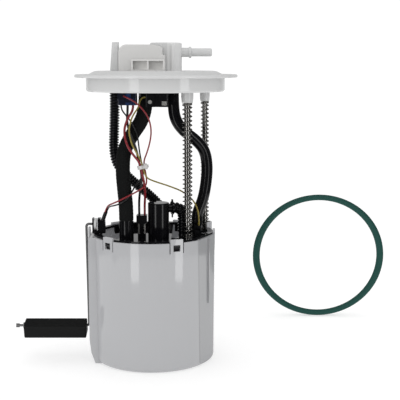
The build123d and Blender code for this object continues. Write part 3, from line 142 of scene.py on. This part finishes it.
class Finish:
    """A material on one Principled shader; its noise and fields read the piece's own place."""

    def __init__(self, name, colour, roughness, metallic=0.0, specular=0.5):
        self.colour = colour
        self.material = bpy.data.materials.new(name)
        self.material.use_nodes = True
        self.material.diffuse_color = (*colour, 1)
        self.tree = self.material.node_tree
        self.shader = self.tree.nodes["Principled BSDF"]
        self.place = self.node("ShaderNodeTexCoord", {}).outputs["Object"]
        self.feed("Base Color", (*colour, 1))
        self.feed("Roughness", roughness)
        self.feed("Metallic", metallic)
        self.feed("Specular IOR Level", specular)

    def node(self, kind, inputs, **settings):
        return add_node(self.tree, kind, settings, inputs)

    def feed(self, name, value):
        connect(self.tree, self.shader.inputs[name], value)

    def stretched(self, x, y, z):
        """The piece's place with each axis scaled, for noise that is drawn out into streaks."""
        inputs = {"Vector": self.place, "Scale": (x, y, z)}
        return self.node("ShaderNodeMapping", inputs).outputs["Vector"]

    def noise(self, size, detail=3.0, place=None):
        """Cloudy noise from 0 to 1 whose blobs are about size metres across."""
        inputs = {"Vector": place or self.place, "Scale": 1 / size, "Detail": detail}
        return Signal(self.tree, self.node("ShaderNodeTexNoise", inputs).outputs["Fac"])

    def cells(self, size):
        """The distance to the middle of the nearest of many cells about size metres across."""
        inputs = {"Vector": self.place, "Scale": 1 / size}
        return Signal(self.tree, self.node("ShaderNodeTexVoronoi", inputs).outputs["Distance"])

    def coordinate(self, axis):
        inputs = {"Vector": self.place}
        return Signal(self.tree, self.node("ShaderNodeSeparateXYZ", inputs).outputs[axis])

    def mixed(self, name, amount, colour_a, colour_b):
        inputs = {"Factor": amount, "A": (*colour_a, 1), "B": (*colour_b, 1)}
        mix = self.node("ShaderNodeMix", inputs, data_type="RGBA")
        self.feed(name, mix.outputs["Result"])

    def tint(self, amount, other):
        """The base colour turns towards another as the signal goes from 0 to 1."""
        self.mixed("Base Color", amount, self.colour, other)

    def paint_light(self, amount, colour):
        """Painted light: the surface glows with this colour where the signal is 1."""
        self.mixed("Emission Color", amount, (0, 0, 0), colour)
        self.feed("Emission Strength", 1.0)

    def rough(self, signal):
        self.feed("Roughness", signal)

    def bump(self, height, deep, strength=1.0):
        """A relief of deep metres where the signal goes from 0 to 1."""
        inputs = {"Strength": strength, "Distance": deep, "Height": height}
        self.feed("Normal", self.node("ShaderNodeBump", inputs).outputs["Normal"])


def piece_of(name, mesh, finish, smooth=False):
    """Puts a bmesh into the scene as an object and frees it."""
    data = bpy.data.meshes.new(name)
    mesh.to_mesh(data)
    mesh.free()
    data.materials.append(finish.material)
    if smooth:
        data.shade_smooth()
    piece = bpy.data.objects.new(name, data)
    bpy.context.collection.objects.link(piece)
    return piece


FLOOR_R = 0.55
FLOOR_GLOW = 0.48
floor_paper = Finish("floor_paper", (0.60, 0.60, 0.60), 0.9, specular=0.1)
floor_paper.feed("Emission Color", (1, 1, 1, 1))
floor_paper.feed("Emission Strength", FLOOR_GLOW)
floor_paper.bump(floor_paper.noise(0.004), 0.0001, 0.2)
floor_mesh = bmesh.new()
bmesh.ops.create_circle(floor_mesh, cap_ends=True, segments=96, radius=FLOOR_R)
piece_of("floor", floor_mesh, floor_paper)


# Studio light
# A white room that is a little dimmer overhead and on the right. The mirror-like faces find it
# dark, apart from the backdrop behind the module and two tall lamps, which leave upright bands.
BACKDROP = 1.05
BACKDROP_MIRRORED = 0.7
FILL = 1.25
TOP_DIM = 0.3
RIGHT_DIM = 0.2
DARK_STUDIO = 0.10
BACKDROP_FROM = 0.75
BACKDROP_EDGE = 6
OVERHEAD_PLACE = (0.05, 0.05, 1.5)
OVERHEAD_AIM = (0.05, 0.05, 0)
OVERHEAD_SIZE = 1.6
OVERHEAD_POWER = 2.5
LAMP_Z = 0.5
LAMP_TALL = 1.0
LAMP_POWER = 1.0
LAMP_AIM_Y = -0.06
LAMP_AIM_SHARE = 1 / 8
# Each lamp's x, y and width
LAMPS = {"lamp_left": (-0.200, -0.359, 0.105), "lamp_right": (0.299, -0.279, 0.10)}
surround = bpy.data.worlds.new("surround")
surround.use_nodes = True
bpy.context.scene.world = surround
sky = surround.node_tree
ray = add_node(sky, "ShaderNodeLightPath", {}, {})
seen = Signal(sky, ray.outputs["Is Camera Ray"])
mirrored = Signal(sky, ray.outputs["Is Glossy Ray"])
way_out = add_node(sky, "ShaderNodeTexCoord", {}, {}).outputs["Generated"]
towards = add_node(sky, "ShaderNodeSeparateXYZ", {}, {"Vector": way_out})
right = Signal(sky, towards.outputs["X"]).clamped()
up = Signal(sky, towards.outputs["Z"]).clamped()
behind = ((Signal(sky, towards.outputs["Y"]) - BACKDROP_FROM) * BACKDROP_EDGE).clamped()
filled = FILL * (1 - RIGHT_DIM * right - TOP_DIM * up)
reflected = DARK_STUDIO + (BACKDROP_MIRRORED - DARK_STUDIO) * behind
unseen = mirrored * reflected + (1 - mirrored) * filled
background = sky.nodes["Background"]
connect(sky, background.inputs["Color"], (1, 1, 1, 1))
connect(sky, background.inputs["Strength"], seen * BACKDROP + (1 - seen) * unseen)


def lamp(name, place, target, wide, tall, power):
    data = bpy.data.lights.new(name, "AREA")
    data.shape = "RECTANGLE"
    data.size = wide
    data.size_y = tall
    data.energy = power
    light = bpy.data.objects.new(name, data)
    light.location = place
    towards_target = Vector(target) - Vector(place)
    light.rotation_euler = towards_target.to_track_quat("-Z", "Y").to_euler()
    light.visible_camera = False
    bpy.context.collection.objects.link(light)
    return light


lamp("lamp_overhead", OVERHEAD_PLACE, OVERHEAD_AIM, OVERHEAD_SIZE, OVERHEAD_SIZE, OVERHEAD_POWER)
for name, (x, y, wide) in LAMPS.items():
    aim = (x * LAMP_AIM_SHARE, LAMP_AIM_Y, LAMP_Z)
    band = lamp(name, (x, y, LAMP_Z), aim, wide, LAMP_TALL, LAMP_POWER)
    band.visible_diffuse = False


# Reservoir
# A round cup moulded in off-white acetal, with five snap tongues round its rim and a flat on one
# side, whose colour is painted greyer as painted shade. Its inside glows with painted light.
FLAT_TURN = math.radians(-25.2)
FLAT_OUTSIDE = 58.3 * MM
FLAT_INSIDE = 57.5 * MM
INSIDE_R = 59.7 * MM
BOTTOM_TOP = 4.5 * MM


def dress(finish, *nodes):
    """Gives CAD nodes their finish."""
    for node in nodes:
        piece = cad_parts[node]
        piece.data.materials.clear()
        piece.data.materials.append(finish.material)


acetal = Finish("acetal", (0.42, 0.423, 0.435), 0.07)
place_x, place_y, place_z = (acetal.coordinate(axis) for axis in "XYZ")
across = place_x * math.cos(FLAT_TURN) + place_y * math.sin(FLAT_TURN)
# Painted shade: the flat's base colour is made greyer.
acetal.tint(across > FLAT_OUTSIDE, (0.32, 0.323, 0.332))
# Painted light: the cup's inside faces glow.
in_round = place_x ** 2 + place_y ** 2 < INSIDE_R ** 2
painted_inside_light = in_round * (across < FLAT_INSIDE) * (place_z > BOTTOM_TOP)
acetal.paint_light(painted_inside_light, (0.08, 0.081, 0.085))
acetal.bump(acetal.noise(0.012, 2.0), 0.00004, 0.15)
dress(acetal, "reservoir")


# Carrier and the small black mouldings
# The frame that snaps into the rim and what stands on it, the pump's end cap and impeller, the
# baffle, the jet pump and the black plug: black acetal with a fine grain from the mould.
carrier_acetal = Finish("carrier_acetal", (0.005, 0.005, 0.006), 0.05, specular=0.15)
carrier_acetal.rough(carrier_acetal.noise(0.01, 2.0) * 0.03 + 0.03)
dress(carrier_acetal, "carrier", "mast_cap")

black_acetal = Finish("black_acetal", (0.005, 0.005, 0.006), 0.1, specular=0.28)
black_acetal.rough(black_acetal.noise(0.006, 3.0) * 0.08 + 0.05)
black_acetal.bump(black_acetal.noise(0.004, 2.0), 0.00003, 0.2)
dress(black_acetal, "baffle", "rod_bushes", "outlet_mast", "jumper_clamp", "sleeve_fitting",
      "pump_end_cap", "jet_pump", "pump_plug", "carrier_connector", "sender_frame", "impeller",
      "black_plug")


# Pump, strainer and regulator
# Inside the reservoir: a crimped steel can with cast end covers round the motor, rubber
# isolators about it, a felt strainer under it and a pressure regulator in a drawn steel shell.
steel = Finish("drawn_steel", (0.58, 0.58, 0.60), 0.3, metallic=1.0)
steel.rough(steel.noise(0.002, 4.0, steel.stretched(1, 1, 12)) * 0.3 + 0.18)
dress(steel, "pump_can", "pressure_regulator")

cast_alloy = Finish("cast_alloy", (0.62, 0.62, 0.64), 0.5, metallic=1.0)
cast_alloy.bump(cast_alloy.noise(0.001, 5.0), 0.00008, 0.6)
dress(cast_alloy, "pump_plate", "pump_inlet")

isolator_rubber = Finish("isolator_rubber", (0.02, 0.02, 0.021), 0.65)
isolator_rubber.bump(isolator_rubber.noise(0.0008, 4.0), 0.00006, 0.5)
dress(isolator_rubber, "isolator_ring", "isolator_base", "foot_valve", "sender_boots")

felt = Finish("strainer_felt", (0.72, 0.71, 0.67), 0.95)
felt.tint(felt.noise(0.0009, 6.0), (0.50, 0.49, 0.45))
felt.bump(felt.noise(0.0005, 6.0), 0.0003, 0.8)
dress(felt, "strainer")

ferrite = Finish("ferrite", (0.06, 0.06, 0.065), 0.55)
ferrite.tint(ferrite.noise(0.003, 5.0), (0.10, 0.10, 0.10))
ferrite.bump(ferrite.noise(0.0007, 4.0), 0.00006, 0.5)
dress(ferrite, "pump_magnets", "pump_brushes")

LAMINATION_WAVES = 9000
laminations = Finish("laminations", (0.28, 0.27, 0.26), 0.42, metallic=1.0)
laminations.bump((laminations.coordinate("Z") * LAMINATION_WAVES).sine(), 0.00008, 0.5)
dress(laminations, "armature")

copper = Finish("turned_copper", (0.70, 0.36, 0.22), 0.28, metallic=1.0)
copper.rough(copper.noise(0.001, 3.0, copper.stretched(1, 1, 14)) * 0.25 + 0.2)
dress(copper, "commutator")


# Guide rods
# Two ground steel rods that stand in the flange's sockets and slide in the carrier's bushes.
# Retaining rings in grooves at their feet stop them from leaving the bushes.
ground_steel = Finish("ground_steel", (0.27, 0.265, 0.255), 0.15, metallic=1.0)
along_rod = ground_steel.stretched(1, 1, 20)
ground_steel.rough(ground_steel.noise(0.0008, 3.0, along_rod) * 0.08 + 0.08)
dress(ground_steel, "guide_rods", "rod_clips", "rotor_shaft")


# Springs
# One long coil of round wire round each guide rod, closed at both ends. The springs hold the
# flange up against its stops and shorten as it is pushed down.
def evenly(line, gap):
    """The same line with stations about gap apart, and the distance of each from its start."""
    reach = [0.0]
    for a, b in zip(line, line[1:]):
        reach.append(reach[-1] + (b - a).length)
    count = max(2, round(reach[-1] / gap))
    stations = []
    span = 0
    for k in range(count + 1):
        want = reach[-1] * k / count
        while span < len(line) - 2 and reach[span + 1] < want:
            span += 1
        share = (want - reach[span]) / max(reach[span + 1] - reach[span], 1e-9)
        stations.append((line[span].lerp(line[span + 1], min(share, 1.0)), want))
    return stations


def tube(name, line, gap, radius, sides, finish):
    """A round tube along a line; radius is a size, or a function of the distance along it."""
    curve = bpy.data.curves.new(name, "CURVE")
    curve.dimensions = "3D"
    curve.twist_mode = "MINIMUM"
    curve.bevel_depth = 1.0
    curve.bevel_resolution = sides // 4 - 1
    curve.use_fill_caps = True
    stations = evenly(line, gap)
    spline = curve.splines.new("POLY")
    spline.points.add(len(stations) - 1)
    for point, (place, reach) in zip(spline.points, stations):
        point.co = (*place, 1)
        point.radius = radius(reach) if callable(radius) else radius
    drawn = bpy.data.objects.new(name + "_drawn", curve)
    mesh = bpy.data.meshes.new_from_object(drawn)
    bpy.data.objects.remove(drawn)
    bpy.data.curves.remove(curve)
    mesh.name = name
    mesh.materials.clear()
    mesh.materials.append(finish.material)
    mesh.shade_smooth()
    piece = bpy.data.objects.new(name, mesh)
    bpy.context.collection.objects.link(piece)
    return piece


BEND_LOW = 148.6 * MM
BEND_HIGH = 251.9 * MM


def held_both_ends(piece, *nodes, low=BEND_LOW, high=BEND_HIGH):
    """Hides the CAD nodes that the piece stands for and bakes its place into its mesh."""
    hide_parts(*nodes)
    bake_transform(piece)


spring_steel = Finish("spring_steel", (0.22, 0.213, 0.20), 0.2, metallic=1.0)
spring_steel.rough(spring_steel.noise(0.002, 2.0) * 0.1 + 0.14)
DEAD_TURNS = 1.5
DEAD_PITCH = 1.02
TURN_POINTS = 20
COIL_GAP = 1.4 * MM
# Each spring's wire, coil radius and pitch
COILS = {
    "spring_front": (1.3 * MM, 4.35 * MM, 4.2 * MM),
    "spring_rear": (1.2 * MM, 3.75 * MM, 4.05 * MM),
}
for node, (wire, coil_r, pitch) in COILS.items():
    low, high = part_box(node)
    middle = (low + high) / 2
    foot = low.z + wire / 2
    rise = high.z - low.z - wire
    dead_rise = DEAD_TURNS * wire * DEAD_PITCH
    live_turns = round((rise - 2 * dead_rise) / pitch)
    helix = []
    for k in range(int((live_turns + 2 * DEAD_TURNS) * TURN_POINTS) + 1):
        turn = k / TURN_POINTS
        if turn < DEAD_TURNS:
            z = foot + dead_rise * turn / DEAD_TURNS
        elif turn < DEAD_TURNS + live_turns:
            z = foot + dead_rise + (rise - 2 * dead_rise) * (turn - DEAD_TURNS) / live_turns
        else:
            z = foot + rise - dead_rise * (2 * DEAD_TURNS + live_turns - turn) / DEAD_TURNS
        angle = 2 * math.pi * turn
        x = middle.x + coil_r * math.cos(angle)
        y = middle.y + coil_r * math.sin(angle)
        helix.append(Vector((x, y, z)))
    coil = tube(node + "_wire", helix, COIL_GAP, wire / 2, 8, spring_steel)
    held_both_ends(coil, node, low=low.z, high=high.z)


# Hoses
# Three fuel hoses run from the flange's barbs to the carrier: a wide one in a woven sleeve, a
# corrugated nylon one, and a smooth glossy one that bows out in an S.
def line_of(points):
    """The smooth line through a route: the points that a NURBS spline with no bevel gives."""
    curve = bpy.data.curves.new("route", "CURVE")
    curve.dimensions = "3D"
    spline = curve.splines.new("NURBS")
    spline.points.add(len(points) - 1)
    for point, place in zip(spline.points, points):
        point.co = (*place, 1)
    spline.order_u = 3
    spline.use_endpoint_u = True
    spline.resolution_u = 16
    route = bpy.data.objects.new("route", curve)
    mesh = bpy.data.meshes.new_from_object(route)
    line = [vertex.co.copy() for vertex in mesh.vertices]
    bpy.data.objects.remove(route)
    bpy.data.meshes.remove(mesh)
    bpy.data.curves.remove(curve)
    return line


def route_mm(*points):
    return [Vector(point) * MM for point in points]


SLEEVE_R = 7.0 * MM
SLEEVE_GAP = 0.7 * MM
WEAVE_DEEP = 0.02
WEAVE_WAVES = 900
sleeve_cloth = Finish("sleeve_cloth", (0.004, 0.0045, 0.0045), 0.8, specular=0.12)
sleeve_cloth.bump(sleeve_cloth.cells(0.0011), 0.0004, 0.9)
sleeve_line = line_of(route_mm(
    (-6, -8, 264), (-6, -8, 253), (-9.8, -9, 237.5), (-20.2, -12, 223.5), (-27.4, -15.5, 208.5),
    (-28.4, -20, 190.5), (-26.2, -26, 171), (-24.4, -30, 156), (-24.4, -30, 143.5)))


def sleeve_radius(reach):
    return SLEEVE_R * (1 - WEAVE_DEEP * math.sin(reach * WEAVE_WAVES) ** 2)


sleeve = tube("sleeve_hose_cloth", sleeve_line, SLEEVE_GAP, sleeve_radius, 32, sleeve_cloth)
held_both_ends(sleeve, "sleeve_hose")

nylon = Finish("black_nylon", (0.004, 0.004, 0.005), 0.1, specular=0.22)
nylon.rough(nylon.noise(0.004, 2.0) * 0.06 + 0.06)
RIDGE_R = 5.05 * MM
GROOVE_R = 3.4 * MM
RIDGE_PITCH = 2.7 * MM


def corrugation(outer, root, pitch, crest):
    """Ridges with straight flanks; a crest above 1 leaves them flat on top."""
    def radius(reach):
        wave = abs(2 * (reach / pitch % 1) - 1)
        return root + (outer - root) * min(1.0, crest * wave)
    return radius


corrugated_line = line_of(route_mm(
    (-37.3, 5, 264), (-37.3, 5, 250), (-38.2, 5.2, 228), (-39, 5.6, 207), (-35.6, 8, 191.5),
    (-21.6, 13, 176.4), (-6.2, 17.4, 163), (5.6, 21, 151), (9, 22, 139), (9, 22, 129)))
ridges = corrugation(RIDGE_R, GROOVE_R, RIDGE_PITCH, crest=1.7)
corrugated = tube("corrugated_hose_wall", corrugated_line, RIDGE_PITCH / 8, ridges, 24, nylon)
held_both_ends(corrugated, "corrugated_hose")

S_HOSE_R = 5.7 * MM
S_HOSE_GAP = 1.5 * MM
s_line = line_of(route_mm(
    (20.3, 0, 264), (20.3, 0, 252), (22.2, 0.2, 238), (30.6, 1, 226.6), (42.2, 3.2, 218.4),
    (51.2, 5.8, 208), (53.9, 7, 192), (52.6, 7.4, 174.5), (49.6, 7.2, 158.5), (44.6, 6.8, 147),
    (43.3, 6.5, 138.6), (43.3, 6.5, 133)))
s_hose = tube("s_hose_wall", s_line, S_HOSE_GAP, S_HOSE_R, 32, nylon)
held_both_ends(s_hose, "s_hose")


# Jumper hose
# A short corrugated elbow of black nylon that carries fuel from the mast's side barb down to the
# carrier. A clamp holds it at the mast.
JUMPER_R = 5.5 * MM
JUMPER_GROOVE_R = 4.3 * MM
JUMPER_PITCH = 2.9 * MM
JUMPER_Z = 151.8 * MM
JUMPER_START = 12.6 * MM
JUMPER_BEND = 8 * MM
BEND_STEPS = 24
mast_axis = Vector((5.7, -10, 0)) * MM
jumper_foot = Vector((29.6, -3, 127)) * MM
jumper_way = Vector((jumper_foot.x - mast_axis.x, jumper_foot.y - mast_axis.y, 0))
jumper_reach = jumper_way.length
jumper_way.normalize()
corner = mast_axis + jumper_way * (jumper_reach - JUMPER_BEND)
corner.z = JUMPER_Z - JUMPER_BEND
elbow = [mast_axis + jumper_way * JUMPER_START + Vector((0, 0, JUMPER_Z))]
for k in range(BEND_STEPS + 1):
    angle = math.pi / 2 * (1 - k / BEND_STEPS)
    rise = Vector((0, 0, JUMPER_BEND * math.sin(angle)))
    elbow.append(corner + jumper_way * JUMPER_BEND * math.cos(angle) + rise)
elbow.append(jumper_foot)
ridges = corrugation(JUMPER_R, JUMPER_GROOVE_R, JUMPER_PITCH, crest=1.6)
jumper = tube("jumper_hose_wall", elbow, JUMPER_PITCH / 8, ridges, 24, nylon)
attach(jumper, "reservoir")
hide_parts("jumper_hose")


# Wires
# Two thick wires feed the pump and three thin ones serve the sender and the carrier. All five
# come together half way down, where the cable tie holds them.
TIE = Vector((-9.3, -24.0, 194.2))
TIE_TURN = math.radians(12)
TIE_LEAN = math.tan(TIE_TURN)
TIE_REACH = 5
BOOT_Z = 140
BOOT_LEAN = 3.1
BOOT_TALL = 8.2
THICK_R = 1.15 * MM
THIN_R = 0.75 * MM
WIRE_GAP = 1.0 * MM


def tie_pass(dx, dy):
    """A wire's two points at the tie, one above it and one below."""
    return [(TIE.x + dx - rise * TIE_LEAN, TIE.y + dy, TIE.z + rise)
            for rise in (TIE_REACH, -TIE_REACH)]


def boot_exit(x, y):
    """A wire's last two points, in line with the leaning boot that stands at x, y."""
    return [(x + BOOT_LEAN * share, y, BOOT_Z + BOOT_TALL * share) for share in (1.5, 1)]


def insulation(name, colour):
    finish = Finish(name, colour, 0.3)
    finish.rough(finish.noise(0.003, 2.0) * 0.2 + 0.22)
    finish.bump(finish.noise(0.0015, 2.0), 0.00004, 0.4)
    return finish


red_cover = insulation("red_insulation", (0.20, 0.006, 0.012))
black_cover = insulation("black_insulation", (0.004, 0.004, 0.005))
yellow_cover = insulation("yellow_insulation", (0.23, 0.18, 0.025))

WIRES = {
    "wire_red_pump": (THICK_R, red_cover, "red_wire", [
        (-17.1, -26, 253.6), (-17.1, -26, 248.4), (-22.6, -25.2, 241), (-26.2, -25.8, 230),
        (-24.2, -28, 217.6), (-18, -28.4, 207), *tie_pass(-1.1, -1.45), (-7, -24, 178),
        (-6.8, -17.4, 166), (-7.7, -12.6, 156), (-7.7, -12, 150.6), (-7.7, -12, 145.9)]),
    "wire_black_pump": (THICK_R, black_cover, "black_wire", [
        (-22.6, -21.6, 253.6), (-22.6, -21.6, 248), (-23.6, -22, 237), (-20, -22.6, 225),
        (-15.2, -23, 213.5), *tie_pass(-1.75, 0.95), (-9.8, -22.8, 178.5), (-12.2, -19.2, 167),
        (-13.1, -13, 157.5), (-13.1, -12, 151.4), (-13.1, -12, 145.9)]),
    "wire_red_sender": (THIN_R, red_cover, "red_wire", [
        (-25.6, -31, 262.4), (-25.6, -34.6, 262.4), (-22.6, -37.2, 261.4), (-14.6, -38, 257.4),
        (-7.4, -36.8, 250.6), (-1.6, -34, 241.4), (0.4, -30.2, 230.4), (-0.9, -26.4, 219.6),
        (-4.2, -23.8, 208.4), *tie_pass(2.4, 0.4), (-4.6, -25, 180.6), (-5.6, -30.6, 176.4),
        (-12.4, -36, 172.6), (-21, -38.8, 168.4), (-30.2, -38, 163.6), (-37, -31.6, 160),
        (-42.4, -21, 156.6), *boot_exit(-49.85, -11.7)]),
    "wire_black_sender": (THIN_R, black_cover, "black_wire", [
        (-28.6, -23.4, 253.6), (-28.6, -23.4, 249.6), (-25.4, -18.8, 244.4), (-18.4, -18.4, 236),
        (-13.4, -19.4, 223.6), (-12, -20.4, 210.5), *tie_pass(0.4, 1.5), (-9.4, -19.4, 183.4),
        (-14.6, -20.8, 178.4), (-17.6, -28.6, 173), (-22, -36.6, 165.4), (-30.2, -38.2, 160.2),
        (-36.6, -29.6, 157.4), (-41, -17.4, 155), *boot_exit(-48.5, -8.3)]),
    "wire_yellow": (THIN_R, yellow_cover, "yellow_wire", [
        (-4.8, -25, 261), (-8.4, -25, 261), (-10.8, -26.6, 257.4), (-11.8, -27.6, 251.4),
        (-17.6, -30, 243.6), (-20.4, -31, 234), (-21, -31, 227.4), (-18.4, -30.4, 216.4),
        (-13.4, -27.8, 207), *tie_pass(1, -1.5), (-4.6, -27.2, 184), (1, -21.6, 180.6),
        (8.6, -16.4, 177.4), (18.6, -12, 173.4), (29.4, -7.4, 168.4), (39.4, -6.2, 160.4),
        (44.4, -5.2, 150), (45.4, -5, 141), (45.4, -5, 134)]),
}
for node, (radius, finish, slot, points) in WIRES.items():
    wire = tube(node + "_cover", line_of(route_mm(*points)), WIRE_GAP, radius, 16, finish)
    held_both_ends(wire, node)


# Cable tie
# A white nylon band round the five wires, with its square head in front. Its sizes are in
# millimetres, as the wires' points are.
TIE_HALF_X = 3.5
TIE_HALF_Y = 2.9
TIE_THICK = 0.9
TIE_HALF_HIGH = 1.7
TIE_STEPS = 32
HEAD_SIZE = (5.6, 4.4, 5.8)
HEAD_PLACE = (4.2, -5.5, 0.4)
HEAD_ROUND = 1.4
white_nylon = Finish("white_nylon", (0.56, 0.55, 0.54), 0.3)
white_nylon.bump(white_nylon.noise(0.0007, 2.0), 0.00004, 0.4)


def turned_round(mesh, axis, steps):
    """Spins the section that a bmesh holds into a closed ring about an axis."""
    bmesh.ops.spin(mesh, geom=mesh.verts[:] + mesh.edges[:], cent=(0, 0, 0), axis=axis,
                   angle=2 * math.pi, steps=steps, use_merge=True)


tie_mesh = bmesh.new()
outer = TIE_HALF_X + TIE_THICK
section = [tie_mesh.verts.new((x, 0, z)) for x, z in (
    (TIE_HALF_X, -TIE_HALF_HIGH), (outer, -TIE_HALF_HIGH), (outer, TIE_HALF_HIGH),
    (TIE_HALF_X, TIE_HALF_HIGH))]
for corner, after in zip(section, section[1:] + section[:1]):
    tie_mesh.edges.new((corner, after))
turned_round(tie_mesh, (0, 0, 1), TIE_STEPS)
for vertex in tie_mesh.verts:
    vertex.co.y *= 1 - (TIE_HALF_X - TIE_HALF_Y) / vertex.co.xy.length
head = bmesh.ops.create_cube(tie_mesh, size=1.0)["verts"]
bmesh.ops.scale(tie_mesh, vec=HEAD_SIZE, verts=head)
bmesh.ops.translate(tie_mesh, vec=HEAD_PLACE, verts=head)
head_edges = [edge for edge in tie_mesh.edges if set(edge.verts) <= set(head)]
bmesh.ops.bevel(tie_mesh, geom=head_edges, offset=HEAD_ROUND, segments=4, affect="EDGES")
bmesh.ops.recalc_face_normals(tie_mesh, faces=tie_mesh.faces)
tie_place = Matrix.Translation(TIE) @ Matrix.Rotation(-TIE_TURN, 4, "Y")
tie_mesh.transform(Matrix.Scale(MM, 4) @ tie_place)
tie = piece_of("cable_tie_band", tie_mesh, white_nylon)
held_both_ends(tie, "cable_tie")


# Flange
# The white cover that closes the tank's opening, with its skirt, lip, outlet tower and spigot.
# It is glossy below and duller on top, and the tower's face glows with painted light.
LIP_TOP = 280.5 * MM
TOWER_X = (15 * MM, 28 * MM)
TOWER_Y = (-50 * MM, 30 * MM)
TOWER_FROM_Z = 270 * MM
GLOSSY = 0.08
DULLER = 0.40
white_acetal = Finish("white_acetal", (0.60, 0.603, 0.603), GLOSSY, specular=0.4)
place_x, place_y, place_z = (white_acetal.coordinate(axis) for axis in "XYZ")
white_acetal.tint(white_acetal.noise(0.04, 3.0) * 0.4, (0.61, 0.613, 0.613))
white_acetal.bump(white_acetal.noise(0.02, 2.0), 0.00002, 0.05)
# Painted light: the tower's face glows.
painted_tower_light = place_x.between(*TOWER_X) * place_y.between(*TOWER_Y) * (place_z > TOWER_FROM_Z)
white_acetal.paint_light(painted_tower_light, (0.085, 0.084, 0.082))
white_acetal.rough(GLOSSY + (DULLER - GLOSSY) * (place_z > LIP_TOP))
dress(white_acetal, "flange_cover", "arm_hub", "strainer_frame")


# Connector hood and the plugs under it
# The hood's two pockets glow with painted light, more towards their right ends and their feet,
# and the frame round them has a painted highlight. Its pins reach down into the blue plug.
POCKET_X = (-16.6 * MM, 11.9 * MM)
POCKET_Y = (-32.4 * MM, -23.4 * MM)
POCKET_Z = (287.1 * MM, 295.3 * MM)
POCKET_STEP = 14.9 * MM
POCKET_WIDE = 13.6 * MM
FRAME_WIDE = 1.1 * MM
FRAME_Y = (-34 * MM, -31 * MM)
hood_acetal = Finish("hood_acetal", (0.61, 0.605, 0.595), 0.3)
hood_acetal.tint(hood_acetal.noise(0.03, 3.0) * 0.4, (0.59, 0.585, 0.575))
hood_acetal.bump(hood_acetal.noise(0.002, 2.0), 0.00004, 0.2)
place_x, place_y, place_z = (hood_acetal.coordinate(axis) for axis in "XYZ")
pockets = place_x.between(*POCKET_X) * place_y.between(*POCKET_Y) * place_z.between(*POCKET_Z)
along = (place_x - POCKET_X[0]) % POCKET_STEP * (1 / POCKET_WIDE)
lower_down = (POCKET_Z[1] - place_z) * (1 / (POCKET_Z[1] - POCKET_Z[0]))
frame_x = place_x.between(POCKET_X[0] - FRAME_WIDE, POCKET_X[1] + FRAME_WIDE)
frame_z = place_z.between(POCKET_Z[0], POCKET_Z[1] + FRAME_WIDE)
frame_face = frame_x * frame_z * (1 - pockets) * place_y.between(*FRAME_Y)
# Painted light in the pockets and a painted highlight on the frame round them.
painted_pocket_light = pockets * (along * 0.55 + 0.15) * (lower_down * 0.9 + 0.25) + frame_face * 0.35
hood_acetal.paint_light(painted_pocket_light.clamped(), (0.30, 0.296, 0.285))
dress(hood_acetal, "connector_hood")

blue_acetal = Finish("blue_acetal", (0.002, 0.005, 0.018), 0.2)
# Painted highlights: noise patches of brighter blue on the dark plug, at random places.
blue_acetal.tint((blue_acetal.noise(0.009, 1.0) * 5 - 2.4).clamped(), (0.012, 0.045, 0.16))
blue_acetal.bump(blue_acetal.noise(0.0008, 2.0), 0.00003, 0.4)
dress(blue_acetal, "blue_plug")

tinned = Finish("tinned_metal", (0.70, 0.69, 0.66), 0.3, metallic=1.0)
tinned.rough(tinned.noise(0.001, 3.0) * 0.25 + 0.2)
dress(tinned, "hood_pins", "plug_contacts", "plug_blades", "wiper")


# Level sender and float
# A ceramic card under a pair of cheeks; the wire arm swings on it and carries a float of black
# nitrile foam, which turns freely on the arm's end.
TRACK_WAVES = 4500
ceramic = Finish("sender_ceramic", (0.52, 0.53, 0.54), 0.5)
tracks = (ceramic.coordinate("Y") * TRACK_WAVES).sine().clamped()
ceramic.tint(tracks * 0.8, (0.10, 0.10, 0.09))
dress(ceramic, "sender_card")

nitrile = Finish("nitrile_foam", (0.003, 0.0035, 0.0035), 0.6, specular=0.15)
nitrile.tint(nitrile.noise(0.0016, 6.0) ** 3 * 1.2, (0.007, 0.007, 0.007))
nitrile.bump(nitrile.cells(0.0009), 0.0002, 0.6)
dress(nitrile, "float")

arm_steel = Finish("plated_wire", (0.13, 0.13, 0.13), 0.35, metallic=1.0)
arm_steel.rough(arm_steel.noise(0.002, 3.0) * 0.2 + 0.25)
dress(arm_steel, "float_arm", "float_clip")


# Seal ring
# The loose rubber ring that goes between the flange's lip and the tank. It stands on its edge,
# a little flattened by its own weight, and its cord is thicker at the sides than at the top. The
# cord is spun as a thin round one, and then each of its points is moved to its place.
SEAL_TURNS = 128
SEAL_SIDES = 16
SEAL_THIN_R = 3.3 * MM
SEAL_SWELL = 0.75 * MM
SECTION_OUT = 20
seal_rubber = Finish("seal_rubber", (0.008, 0.060, 0.048), 0.55, specular=0.2)
seal_rubber.tint(seal_rubber.noise(0.02, 4.0) * 0.6, (0.011, 0.070, 0.058))
seal_rubber.bump(seal_rubber.noise(0.001, 4.0), 0.00006, 0.4)
low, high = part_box("seal_ring")
middle = (low + high) / 2
half_wide = (high.x - low.x) / 2
half_tall = (high.z - low.z) / 2
seal_mesh = bmesh.new()
section = Matrix.Translation((SECTION_OUT, 0, 0))
bmesh.ops.create_circle(seal_mesh, segments=SEAL_SIDES, radius=1, matrix=section)
turned_round(seal_mesh, (0, 1, 0), SEAL_TURNS)
for vertex in seal_mesh.verts:
    round_x, across, round_z = vertex.co
    angle = math.atan2(round_z, round_x)
    out = math.hypot(round_x, round_z) - SECTION_OUT
    thick = SEAL_THIN_R + SEAL_SWELL * math.cos(angle) ** 2
    outward = Vector((math.cos(angle) / half_wide, 0, math.sin(angle) / half_tall)).normalized()
    rim = middle + Vector((half_wide * math.cos(angle), 0, half_tall * math.sin(angle)))
    vertex.co = rim + outward * (thick * (out - 1)) + Vector((0, thick * across, 0))
bmesh.ops.recalc_face_normals(seal_mesh, faces=seal_mesh.faces)
seal = piece_of("seal_ring_cord", seal_mesh, seal_rubber, smooth=True)
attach(seal, "reservoir")
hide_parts("seal_ring")
